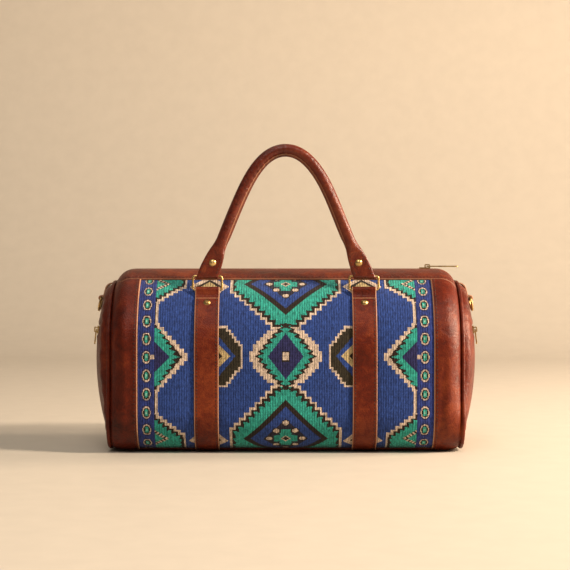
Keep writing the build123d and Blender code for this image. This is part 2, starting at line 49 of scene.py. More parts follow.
# The places of the colour sockets on a Mix node.
MIX_A, MIX_B, MIX_OUT = 6, 7, 2
Array = np.ndarray
Pair = tuple[float, float]
Material = bpy.types.Material
Object = bpy.types.Object


class Side(Enum):
    """The bag's two faces, with the sign of the way up each."""

    FRONT = 1
    BACK = -1

    @property
    def word(self) -> str:
        """How the side is written in names."""
        return self.name.lower()


class End(Enum):
    """The bag's two ends, with the sign of the way along to each."""

    LEFT = -1
    RIGHT = 1

    @property
    def word(self) -> str:
        """How the end is written in names."""
        return self.name.lower()


def linear(colour: str) -> tuple[float, float, float, float]:
    """Turns a colour written as sRGB hex into linear light.

    Args:
        colour: Six hex digits after a hash sign.

    Returns:
        Red, green, blue and an alpha of one.
    """
    parts = [int(colour[at:at + 2], 16) / 255 for at in (1, 3, 5)]
    light = [part / 12.92 if part <= 0.04045 else ((part + 0.055) / 1.055) ** 2.4 for part in parts]
    return light[0], light[1], light[2], 1.0


def smooth(value: Array, low: float, high: float) -> Array:
    """Rises from 0 at low to 1 at high along 3t^2 - 2t^3."""
    t = np.clip((value - low) / (high - low), 0.0, 1.0)
    return t * t * (3 - 2 * t)


def unit(vectors: Array) -> Array:
    """Each vector of the last axis, at length one."""
    return vectors / np.maximum(np.linalg.norm(vectors, axis=-1, keepdims=True), 1e-9)


def bump_at(gap: Array, width: float) -> Array:
    """A soft bump: exp(-(gap / width)^2), so 1 where the gap is nothing."""
    return np.exp(-(gap / width) ** 2)


class Tree:
    """The node tree of one material: it starts empty and is closed by its surface shader."""

    def __init__(self, name: str) -> None:
        """Starts the material.

        Args:
            name: The material's name.
        """
        self.material = bpy.data.materials.new(name)
        self.material.use_nodes = True
        self.nodes = self.material.node_tree.nodes
        self.links = self.material.node_tree.links
        self.nodes.clear()

    def add(self, kind: str, sockets: dict | None = None, stops: tuple = (),
            **settings: object) -> bpy.types.Node:
        """Adds a node with its settings and links.

        Args:
            kind: The node's type, without its leading ShaderNode.
            sockets: Values for its inputs, by name or place. An output socket is linked, and so is the first
                output of a node.
            stops: A colour ramp's places from 0 to 1 with their hex colours, in order.
            settings: Values for the node's own properties.

        Returns:
            The new node.
        """
        node = self.nodes.new("ShaderNode" + kind)
        for key, value in settings.items():
            setattr(node, key, value)
        for key, value in (sockets or {}).items():
            source = value.outputs[0] if isinstance(value, bpy.types.Node) else value
            if isinstance(source, bpy.types.NodeSocket):
                self.links.new(source, node.inputs[key])
            else:
                node.inputs[key].default_value = source
        for _ in stops[2:]:
            node.color_ramp.elements.new(0.5)
        for at, (place, colour) in enumerate(stops):
            node.color_ramp.elements[at].position = place
            node.color_ramp.elements[at].color = linear(colour)
        return node

    def surface(self, sockets: dict) -> Material:
        """Closes the tree with one surface shader.

        Args:
            sockets: The shader's inputs.

        Returns:
            The finished material.
        """
        shader = self.add("BsdfPrincipled", sockets)
        self.add("OutputMaterial", {"Surface": shader})
        return self.material


@dataclass(frozen=True)
class Leather:
    """Oiled cow hide: a warm brown that pulls up lighter where it bends, with fine pores and a soft shine.

    Pore, crease and cloud are widths in millimetres."""

    # To the eye: deep red-brown with lighter clouds where the oil has moved, and a broad, soft shine.
    # The real pores, about 0.3 mm wide, are too fine to show, so they are drawn coarser.
    name: str = "oiled_cow_hide"
    dark: str = "#2f0b05"
    middle: str = "#5a1b08"
    light: str = "#843a17"
    raw: str = "#c89a78"
    pore: float = 1.5
    crease: float = 11.0
    cloud: float = 75.0
    crease_share: float = 0.45
    pore_height: float = 0.6
    crease_height: float = 2.4
    roughness: float = 0.4
    polished: float = 0.07
    dulled: float = 0.1
    shine: float = 0.28

    def material(self) -> Material:
        """Clouds of colour, pores and creases on Object coordinates; raw cut edges by the edge attribute.

        Returns:
            The leather.
        """
        tree = Tree(self.name)
        place = tree.add("TexCoord").outputs["Object"]
        cloud = tree.add("TexNoise", {"Vector": place, "Scale": 1 / (self.cloud * MM), "Detail": 4.0,
                                      "Roughness": 0.6})
        crease = tree.add("TexNoise", {"Vector": place, "Scale": 1 / (self.crease * MM), "Detail": 5.0,
                                       "Roughness": 0.65, "Distortion": 0.6})
        pores = tree.add("TexVoronoi", {"Vector": place, "Scale": 1 / (self.pore * MM), "Smoothness": 0.4},
                         feature="SMOOTH_F1")
        broad = tree.add("Math", {0: cloud, 1: 1 - self.crease_share}, operation="MULTIPLY")
        tone = tree.add("Math", {0: crease, 1: self.crease_share, 2: broad}, operation="MULTIPLY_ADD")
        hide = tree.add("ValToRGB", {"Fac": tone}, ((0.3, self.dark), (0.5, self.middle), (0.72, self.light)))
        shade = tree.add("ValToRGB", {"Fac": pores}, ((0.0, "#b4a498"), (0.5, "#ffffff")))
        skin = tree.add("Mix", {0: 0.7, MIX_A: hide, MIX_B: shade}, data_type="RGBA", blend_type="MULTIPLY")
        edge = tree.add("Attribute", attribute_name="edge").outputs["Fac"]
        colour = tree.add("Mix", {0: edge, MIX_A: skin.outputs[MIX_OUT], MIX_B: linear(self.raw)},
                          data_type="RGBA")
        fine = tree.add("Math", {0: pores, 1: self.pore_height}, operation="MULTIPLY")
        height = tree.add("Math", {0: crease, 1: self.crease_height, 2: fine}, operation="MULTIPLY_ADD")
        bump = tree.add("Bump", {"Height": height, "Strength": 0.45, "Distance": 0.9 * MM})
        polish = tree.add("MapRange", {"Value": cloud, "From Min": 0.3, "From Max": 0.7,
                                       "To Min": self.roughness - self.polished,
                                       "To Max": self.roughness + self.dulled})
        return tree.surface({"Base Color": colour.outputs[MIX_OUT], "Roughness": polish, "Normal": bump,
                             "IOR": 1.4, "Specular IOR Level": self.shine})


@dataclass(frozen=True)
class Kilim:
    """Flat-woven wool: upright cords under a packed weft, dyed in the yarn, dull and a little uneven.

    Cord, beat, fleck and wander are spacings in millimetres; sway and stagger are shifts in radians."""

    # To the eye: dense, matt colour, ribbed by the cords and broken by paler and darker flecks of wool.
    # The real beats of the weft, under a millimetre apart, are too fine to show, so they are drawn coarser.
    name: str = "flat_woven_wool"
    cord: float = 3.1
    beat: float = 1.9
    fleck: float = 2.4
    fleck_stretch: float = 0.35
    wander: float = 14.0
    sway: float = 2.2
    stagger: float = 1.2
    heights: tuple[float, float, float] = (0.5, 0.22, 0.9)
    contrast: float = 0.4

    def material(self) -> Material:
        """Yarn colours from the weave attribute, darkened where the cords and beats lie low as painted shade
        between the ribs; cords and beats as waves of the flat cloth's own map.

        Returns:
            The woven wool.
        """
        tree = Tree(self.name)
        yarn = tree.add("Attribute", attribute_name="weave").outputs["Color"]
        flat = tree.add("UVMap", uv_map="cloth")
        axes = tree.add("SeparateXYZ", {0: flat})
        wander = tree.add("TexNoise", {"Vector": flat, "Scale": 1 / (self.wander * MM), "Detail": 2.0})
        shift = tree.add("Math", {0: wander, 1: self.sway}, operation="MULTIPLY")
        waves = []
        for axis, spacing in zip(axes.outputs, (self.cord, self.beat)):
            angle = tree.add("Math", {0: axis, 1: TURN / (spacing * MM), 2: shift}, operation="MULTIPLY_ADD")
            waves.append(tree.add("Math", {0: angle}, operation="SINE"))
            shift = tree.add("Math", {0: waves[0], 1: self.stagger}, operation="MULTIPLY")
        stretch = tree.add("Mapping", {"Vector": flat, "Scale": (1.0, self.fleck_stretch, 1.0)})
        flecks = tree.add("TexNoise", {"Vector": stretch, "Scale": 1 / (self.fleck * MM), "Detail": 3.0,
                                       "Roughness": 0.7})
        height = 0.0
        for wave, share in zip((*waves, flecks), self.heights):
            height = tree.add("Math", {0: wave, 1: share, 2: height}, operation="MULTIPLY_ADD")
        # Painted shade: the yarn colour is darkened towards the grey stop where the weave lies low, standing
        # for shade between the cords and beats.
        tone = tree.add("Math", {0: height, 1: self.contrast, 2: 0.5}, operation="MULTIPLY_ADD")
        shade = tree.add("ValToRGB", {"Fac": tone}, ((0.1, "#565656"), (0.66, "#ffffff")))
        slub = tree.add("ValToRGB", {"Fac": flecks},
                        ((0.36, "#7c7c80"), (0.52, "#d0d0d0"), (0.66, "#ffffff")))
        colour = yarn
        for part, share in ((shade, 0.9), (slub, 0.7)):
            colour = tree.add("Mix", {0: share, MIX_A: colour, MIX_B: part}, data_type="RGBA",
                              blend_type="MULTIPLY").outputs[MIX_OUT]
        bump = tree.add("Bump", {"Height": height, "Strength": 0.6, "Distance": 0.5 * MM})
        return tree.surface({"Base Color": colour, "Roughness": 0.88, "Normal": bump,
                             "Specular IOR Level": 0.2, "Sheen Weight": 0.1, "Sheen Roughness": 0.5})


@dataclass(frozen=True)
class Brass:
    """Cast and tumbled brass: warm yellow metal, polished on its high places and dulled between.

    Tarnish and scuff are widths in millimetres."""

    # To the eye: a warm yellow gleam, with browner and duller patches in it.
    # The real scuffs, about 0.1 mm wide, are too fine to show, so they are drawn coarser.
    name: str = "tumbled_brass"
    bright: str = "#cfae72"
    dull: str = "#8f7042"
    tarnish: float = 9.0
    scuff: float = 0.7

    def material(self) -> Material:
        """Tarnish and fine scuffs as noises on Object coordinates.

        Returns:
            The brass.
        """
        tree = Tree(self.name)
        place = tree.add("TexCoord").outputs["Object"]
        cloud = tree.add("TexNoise", {"Vector": place, "Scale": 1 / (self.tarnish * MM), "Detail": 4.0})
        scuffs = tree.add("TexNoise", {"Vector": place, "Scale": 1 / (self.scuff * MM), "Detail": 2.0})
        colour = tree.add("ValToRGB", {"Fac": cloud}, ((0.34, self.dull), (0.6, self.bright)))
        polish = tree.add("MapRange", {"Value": cloud, "From Min": 0.3, "From Max": 0.7, "To Min": 0.42,
                                       "To Max": 0.26})
        bump = tree.add("Bump", {"Height": scuffs, "Strength": 0.12, "Distance": 0.1 * MM})
        return tree.surface({"Base Color": colour, "Metallic": 1.0, "Roughness": polish, "Normal": bump})


@dataclass(frozen=True)
class Woven:
    """A plain-woven band or cloth: threads over and under, square to each other, with a width in
    millimetres."""

    # To the eye: an even, matt cloth with a small checked grain.
    # The real threads, about 0.4 mm wide, are too fine to show, so they are drawn coarser.
    name: str
    colour: str
    shadow: str
    thread: float = 1.2
    roughness: float = 0.85

    def material(self) -> Material:
        """Crossed waves on Object coordinates make the over-and-under of the threads.

        Returns:
            The woven cloth.
        """
        tree = Tree(self.name)
        axes = tree.add("SeparateXYZ", {0: tree.add("TexCoord").outputs["Object"]})
        waves = []
        for axis in axes.outputs:
            angle = tree.add("Math", {0: axis, 1: TURN / (2 * self.thread * MM)}, operation="MULTIPLY")
            waves.append(tree.add("Math", {0: angle}, operation="SINE"))
        crossed = tree.add("Math", dict(enumerate(waves)), operation="MULTIPLY_ADD")
        height = tree.add("Math", {0: crossed, 1: 0.3, 2: 0.5}, operation="MULTIPLY_ADD")
        tone = tree.add("Math", {0: height, 1: 0.5}, operation="ADD")
        colour = tree.add("ValToRGB", {"Fac": tone}, ((0.2, self.shadow), (0.8, self.colour)))
        bump = tree.add("Bump", {"Height": height, "Strength": 0.4, "Distance": 0.3 * MM})
        return tree.surface({"Base Color": colour, "Roughness": self.roughness, "Normal": bump})


@dataclass(frozen=True)
class Thread:
    """Waxed linen thread: dark, twisted about every millimetre, with a low shine."""

    # To the eye: small dark grains of thread with a low shine, lighter along the twist.
    name: str = "waxed_linen_thread"
    colour: str = "#3a2013"
    shadow: str = "#1f1009"
    twist: float = 0.8

    def material(self) -> Material:
        """Light and dark along the twist, as a fine noise on Object coordinates.

        Returns:
            The thread.
        """
        tree = Tree(self.name)
        place = tree.add("TexCoord").outputs["Object"]
        twist = tree.add("TexNoise", {"Vector": place, "Scale": 1 / (self.twist * MM), "Detail": 2.0})
        colour = tree.add("ValToRGB", {"Fac": twist}, ((0.35, self.shadow), (0.65, self.colour)))
        bump = tree.add("Bump", {"Height": twist, "Strength": 0.4, "Distance": 0.2 * MM})
        return tree.surface({"Base Color": colour, "Roughness": 0.55, "Normal": bump})


@dataclass(frozen=True)
class Plaster:
    """Painted studio floor and wall: pale, matt and even, with clouds a few centimetres wide."""

    # To the eye: a pale, even ground that takes soft shadows.
    name: str = "matt_painted_floor"
    colour: str = "#c1b9ac"
    grain: float = 35.0

    def material(self) -> Material:
        """A broad, faint cloud in the paint.

        Returns:
            The paint.
        """
        tree = Tree(self.name)
        place = tree.add("TexCoord").outputs["Object"]
        cloud = tree.add("TexNoise", {"Vector": place, "Scale": 1 / (self.grain * MM), "Detail": 3.0})
        tone = tree.add("ValToRGB", {"Fac": cloud}, ((0.3, "#fafafa"), (0.7, "#ffffff")))
        colour = tree.add("Mix", {0: 1.0, MIX_A: linear(self.colour), MIX_B: tone}, data_type="RGBA",
                          blend_type="MULTIPLY")
        return tree.surface({"Base Color": colour.outputs[MIX_OUT], "Roughness": 0.6,
                             "Specular IOR Level": 0.3})


@dataclass
class Finishes:
    """One of each finish, made once and shared by every piece."""

    leather: Material = field(default_factory=Leather().material)
    # To the eye: the handles, rubbed by hands, are smoother and shinier than the other hide.
    roll: Material = field(default_factory=Leather("burnished_handle_hide", "#310c06", "#5e1e0a", "#85401f",
                                                   crease=7.0, roughness=0.29, shine=0.5).material)
    kilim: Material = field(default_factory=Kilim().material)
    brass: Material = field(default_factory=Brass().material)
    thread: Material = field(default_factory=Thread().material)
    # To the eye: dark dull tape, pale brown lining, off-white cord and plain brown board.
    tape: Material = field(default_factory=Woven("cotton_zip_tape", "#4a2a1a", "#28150c").material)
    lining: Material = field(default_factory=Woven("cotton_twill_lining", "#8a7355", "#5d4b36").material)
    cord: Material = field(default_factory=Woven("twisted_cotton_cord", "#cdbf9f", "#8f8367", 2.4).material)
    board: Material = field(default_factory=Woven("pressed_fibre_board", "#7a6248", "#655039", 0.6).material)


def grid_faces(rows: int, columns: int, wrap_rows: bool = False, wrap_columns: bool = False) -> Array:
    """The quads of a grid of points.

    Args:
        rows: How many rows the grid has.
        columns: How many points a row has.
        wrap_rows: Whether the last row joins the first.
        wrap_columns: Whether each row closes on itself.

    Returns:
        One row of four point numbers for each quad.
    """
    index = np.arange(rows * columns).reshape(rows, columns)
    if wrap_rows:
        index = np.vstack([index, index[:1]])
    if wrap_columns:
        index = np.hstack([index, index[:, :1]])
    corners = [index[:-1, :-1], index[1:, :-1], index[1:, 1:], index[:-1, 1:]]
    return np.stack(corners, axis=-1).reshape(-1, 4)


def piece(name: str, points: Array, faces: list, material: Material,
          tags: dict[str, Array] | None = None) -> Object:
    """Makes a smooth mesh piece from points in millimetres.

    Args:
        name: The piece's name.
        points: Places, one row each.
        faces: Lists of point numbers.
        material: Its finish.
        tags: Numbers for each point, by attribute name.

    Returns:
        The object, at the origin.
    """
    mesh = bpy.data.meshes.new(name)
    mesh.from_pydata((points * MM).tolist(), [], faces)
    mesh.polygons.foreach_set("use_smooth", np.ones(len(mesh.polygons), dtype=bool))
    for tag, values in (tags or {}).items():
        layer = mesh.attributes.new(tag, "FLOAT", "POINT")
        layer.data.foreach_set("value", np.ascontiguousarray(values, dtype=np.float32).ravel())
    mesh.materials.append(material)
    mesh.update()
    obj = bpy.data.objects.new(name, mesh)
    bpy.context.scene.collection.objects.link(obj)
    return obj


def fasten(obj: Object, body: str, node: str | None = None) -> Object:
    """Lets a piece move with a body and stand for a solid.

    Args:
        obj: The piece.
        body: The body that it rides on.
        node: The solid that it replaces, if it does.

    Returns:
        The same piece.
    """
    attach(obj, body)
    if node:
        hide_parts(node)
    return obj


def turn_outward(obj: Object) -> None:
    """Points the faces of a closed mesh outwards.

    Args:
        obj: The piece.
    """
    work = bmesh.new()
    work.from_mesh(obj.data)
    bmesh.ops.recalc_face_normals(work, faces=work.faces)
    work.to_mesh(obj.data)
    work.free()


def facing(points: Array, normals: Array, faces: Array) -> Array:
    """Turns all the quads over if they face against the normals given for the points.

    Args:
        points: Places, one row each.
        normals: Which way the sheet should face at each point.
        faces: Four point numbers for each quad.

    Returns:
        The quads, as they were or turned over.
    """
    corner = points[faces]
    real = np.cross(corner[:, 2] - corner[:, 0], corner[:, 3] - corner[:, 1])
    wanted = normals[faces].mean(axis=1)
    return faces if (real * wanted).sum() > 0 else faces[:, ::-1]


def open_grid(name: str, points: Array, normals: Array, material: Material,
              tags: dict[str, Array] | None = None) -> Object:
    """An open sheet on a grid of points, facing the way of its normals.

    Args:
        name: The piece's name.
        points: The grid's places in millimetres, rows by columns by three.
        normals: Which way the sheet faces at each point.
        material: Its finish.
        tags: Point numbers by attribute name.

    Returns:
        The sheet.
    """
    flat = points.reshape(-1, 3)
    faces = facing(flat, normals.reshape(-1, 3), grid_faces(*points.shape[:2]))
    return piece(name, flat, faces.tolist(), material, tags)


def closed_tube(name: str, rings: Array, material: Material, loop: bool = False,
                tags: dict[str, Array] | None = None) -> Object:
    """A closed skin over a row of rings, capped at both ends or joined into a loop.

    Args:
        name: The piece's name.
        rings: Places in millimetres, rings by points by three.
        material: Its finish.
        loop: Whether the last ring joins the first.
        tags: Point numbers by attribute name.

    Returns:
        The tube.
    """
    count, around = rings.shape[:2]
    faces = grid_faces(count, around, wrap_rows=loop, wrap_columns=True).tolist()
    if not loop:
        faces += [list(range(around)), list(range((count - 1) * around, count * around))]
    obj = piece(name, rings.reshape(-1, 3), faces, material, tags)
    turn_outward(obj)
    return obj


def stitch_rows(name: str, places: Array, ways: Array, ups: Array, material: Material, length: float = 3.2,
                width: float = 0.9) -> Object:
    """Stitches as small grains of thread: a spindle of three rings and two tips, copied to every place.

    Args:
        name: The piece's name.
        places: The middle of each stitch, in millimetres.
        ways: The direction that each lies along.
        ups: The leather's normal under each.
        material: The thread.
        length: A stitch's length.
        width: The thread's thickness.

    Returns:
        All the stitches as one piece.
    """
    sides = 6
    turn = np.arange(sides) * TURN / sides
    stations = np.array([-0.36, 0.0, 0.36])
    swell = np.array([0.8, 1.0, 0.8])
    rings = len(stations)
    ring = np.stack([np.zeros(sides), np.cos(turn), np.sin(turn)], axis=-1) * width / 2
    body = ring[None] * swell[:, None, None]
    body[..., 0] = stations[:, None] * length
    grain = np.vstack([body.reshape(-1, 3), [[-length / 2, 0, 0], [length / 2, 0, 0]]])
    way = unit(ways)
    side = unit(np.cross(ups, way))
    axes = np.stack([way, side, np.cross(way, side)], axis=1)
    points = places[:, None] + np.einsum("pk,nkc->npc", grain, axes)
    quads = grid_faces(rings, sides, wrap_columns=True)
    first = np.arange(sides)
    second = (first + 1) % sides
    last = (rings - 1) * sides
    tip_low = np.stack([np.full(sides, rings * sides), first, second], axis=-1)
    tip_high = np.stack([np.full(sides, rings * sides + 1), last + second, last + first], axis=-1)
    steps = (np.arange(len(places)) * len(grain))[:, None, None]
    faces = (quads[None] + steps).reshape(-1, 4).tolist()
    for tips in (tip_low, tip_high):
        faces += (tips[None] + steps).reshape(-1, 3).tolist()
    obj = piece(name, points.reshape(-1, 3), faces, material)
    turn_outward(obj)
    return obj


@dataclass(frozen=True)
class BagForm:
    """The bag's rounded body. Its skin is found by w, the way along the bag, and s, the way up from the
    middle of the base; s is positive up the front and negative up the back."""

    length: float = 446.0
    depth: float = 240.0
    height: float = 234.0
    top_flat: float = 28.0
    base_radius: float = 55.0
    end_radius: float = 24.0
    seam_inset: float = 18.0
    kilim_half: float = 187.0
    strap_x: float = 100.0
    strap_width: float = 31.0
    zip_angle: float = 62.0
    base_angle: float = 72.0
    ring_angle: float = 47.5
    ring_sink: float = 2.2
    low_share: float = 0.25
    low_until: float = 88.0
    full_from: float = 200.0
    puff: float = 3.2
    puff_power: float = 0.8
    outer_puff: float = 2.0
    calm_top: float = 24.0
    sag: float = 0.85
    ripple: float = 0.7
    ripple_fade: float = 20.0
    ripple_lengths: Pair = (37.0, 29.0)
    ripple_starts: Pair = (1.3, 0.4)
    cross_ripple: float = 0.6
    cross_lengths: Pair = (19.0, 41.0)
    fold_sway: float = 2.4
    fold_length: float = 37.0
    ridge: float = 0.9
    ridge_x: float = 207.0
    ridge_width: float = 4.0
    dent: float = 1.5
    dent_x: float = 199.0
    dent_width: float = 2.6
    dent_steady: float = 0.65
    dent_length: float = 26.0

    @property
    def top_radius(self) -> float:
        """The radius of the bag's shoulders."""
        return (self.depth - self.top_flat) / 2

    @property
    def straight(self) -> float:
        """Where the rounding of the ends starts along the bag."""
        return self.length / 2 - self.end_radius

    @property
    def base_flat(self) -> float:
        """Half the base's flat width."""
        return self.depth / 2 - self.base_radius

    @property
    def side(self) -> float:
        """The height of the upright part of the front."""
        return self.height - self.top_radius - self.base_radius

    @property
    def shoulder_start(self) -> float:
        """The way up at which the shoulder's arc starts."""
        return self.base_flat + self.base_radius * QUARTER + self.side

    @property
    def half_girth(self) -> float:
        """The way up from the middle of the base to the middle of the top."""
        return self.shoulder_start + self.top_radius * QUARTER + self.top_flat / 2

    @property
    def base_seam(self) -> float:
        """The way up to the base panel's seam."""
        return self.base_flat + self.base_radius * math.radians(90 - self.base_angle)

    @property
    def zip_seam(self) -> float:
        """The way up to the zip bands' seam."""
        return self.shoulder_start + self.top_radius * math.radians(self.zip_angle)

    @property
    def ring_line(self) -> float:
        """The way up to the straps' rings."""
        return self.shoulder_start + self.top_radius * math.radians(self.ring_angle)

    @property
    def panel_end(self) -> float:
        """The way along at which the skin meets the end seam."""
        return self.straight + self.end_radius * math.acos(1 - self.seam_inset / self.end_radius)

    def section(self, s: Array) -> tuple[Array, Array, Array, Array]:
        """The body's outline: flat base, base arc, upright side, shoulder arc and flat top, in turn.

        Args:
            s: The way up, from zero.

        Returns:
            Distance out from the middle plane, height, and the normal's two parts.
        """
        flat = np.clip(s, 0, self.base_flat)
        low = np.clip((s - self.base_flat) / self.base_radius, 0, QUARTER)
        rise = np.clip(s - self.base_flat - self.base_radius * QUARTER, 0, self.side)
        high = np.clip((s - self.shoulder_start) / self.top_radius, 0, QUARTER)
        top = np.clip(s - self.shoulder_start - self.top_radius * QUARTER, 0, self.top_flat)
        out = flat + self.base_radius * np.sin(low) - self.top_radius * (1 - np.cos(high)) - top
        up = self.base_radius * (1 - np.cos(low)) + rise + self.top_radius * np.sin(high)
        return out, up, np.sin(low + high), -np.cos(low + high)

    def drawn_in(self, s: Array) -> Array:
        """How much of the end's rounding is left at a way up: little at the base, all of it up the side."""
        return self.low_share + (1 - self.low_share) * smooth(s, self.low_until, self.full_from)

    def soft(self, w: Array, s: Array) -> Array:
        """How far the filled bag swells at a place: full between the straps and between strap and band, with
        long ripples, and a ridge and a dent down each end band. It fades to nothing at the base seam and
        below the rivets.

        Args:
            w: The way along.
            s: The way up, from zero.

        Returns:
            The swell in millimetres.
        """
        share = np.clip((s - self.base_seam) / (self.ring_line - self.calm_top - self.base_seam), 0, 1)
        window = np.sin(math.pi * share ** self.sag)
        along = np.abs(w)
        inner = self.strap_x - self.strap_width / 2
        outer = self.strap_x + self.strap_width / 2
        middle = self.puff * np.cos(QUARTER * np.clip(along / inner, 0, 1)) ** self.puff_power
        bay = np.clip((along - outer) / (self.kilim_half - outer), 0, 1)
        sides = self.outer_puff * np.sin(math.pi * bay)
        long_w, long_s = self.ripple_lengths
        start_w, start_s = self.ripple_starts
        cross_w, cross_s = self.cross_lengths
        waves = (np.sin(w / long_w + start_w) * np.sin(s / long_s + start_s)
                 + self.cross_ripple * np.sin(w / cross_w - s / cross_s))
        fade = 1 - smooth(along, self.kilim_half - self.ripple_fade, self.kilim_half)
        way = np.sign(w)
        off = along - self.fold_sway * np.sin(s / self.fold_length + way)
        fold = (self.ridge * bump_at(off - self.ridge_x, self.ridge_width)
                - self.dent * bump_at(off - self.dent_x, self.dent_width))
        steady = self.dent_steady + (1 - self.dent_steady) * np.sin(s / self.dent_length + 2 * way)
        return window * (middle + sides + self.ripple * waves * fade + fold * steady)

    def skin(self, w: Array, s: Array, lift: Array) -> tuple[Array, Array]:
        """Places on the bag. Past the straight part the skin turns in on the end radius.

        Args:
            w: The way along.
            s: The way up, negative on the back.
            lift: How far out from the skin.

        Returns:
            Places and normals, with a last axis of three.
        """
        w, s, lift = np.broadcast_arrays(w, s, lift)
        out, up, normal_out, normal_up = self.section(np.abs(s))
        front = -np.sign(s)
        turn = np.clip((np.abs(w) - self.straight) / self.end_radius, 0, QUARTER)
        inset = self.end_radius * (1 - np.cos(turn)) * self.drawn_in(np.abs(s))
        x = np.sign(w) * (np.minimum(np.abs(w), self.straight) + self.end_radius * np.sin(turn))
        normal = np.stack([np.sign(w) * np.sin(turn), front * normal_out * np.cos(turn),
                           normal_up * np.cos(turn)], axis=-1)
        place = np.stack([x, front * (out - inset * normal_out), up - inset * normal_up], axis=-1)
        return place + normal * (lift + self.soft(w, np.abs(s)))[..., None], normal


class Yarn(Enum):
    """The dyed yarns of the kilim."""

    FIELD = "#2d4990"
    BORDER = "#2f3f86"
    TEAL = "#33a898"
    CREAM = "#dcc6b2"
    BROWN = "#2c211b"
    INDIGO = "#2e2f60"
    DUSK = "#2b2838"
    OLIVE = "#352f22"
    SAND = "#cdb684"
    MINT = "#93cdb8"


Layers = list[tuple[Array, Yarn]]


def reach(across: Array, up: Array, half: Pair, power: float = 1.0) -> Array:
    """How far out a place is: 1 on the edge of a diamond, or of an oval for a power near 2."""
    return (np.abs(across) / half[0]) ** power + (np.abs(up) / half[1]) ** power


def within(across: Array, up: Array, half: Pair) -> Array:
    """Whether a place is inside a box of those half sizes."""
    return (np.abs(across) < half[0]) & (np.abs(up) < half[1])


def teeth(run: Array, pitch: float) -> Array:
    """A zigzag between 1 and 0 that turns at every pitch."""
    return np.abs(run / pitch % 2 - 1)


def bands(out: Array, *steps: tuple[float, Yarn], inside: Array | bool = True) -> Layers:
    """One yarn within another: the limit and the yarn of each step, the widest first."""
    return [((out < limit) & inside, yarn) for limit, yarn in steps]


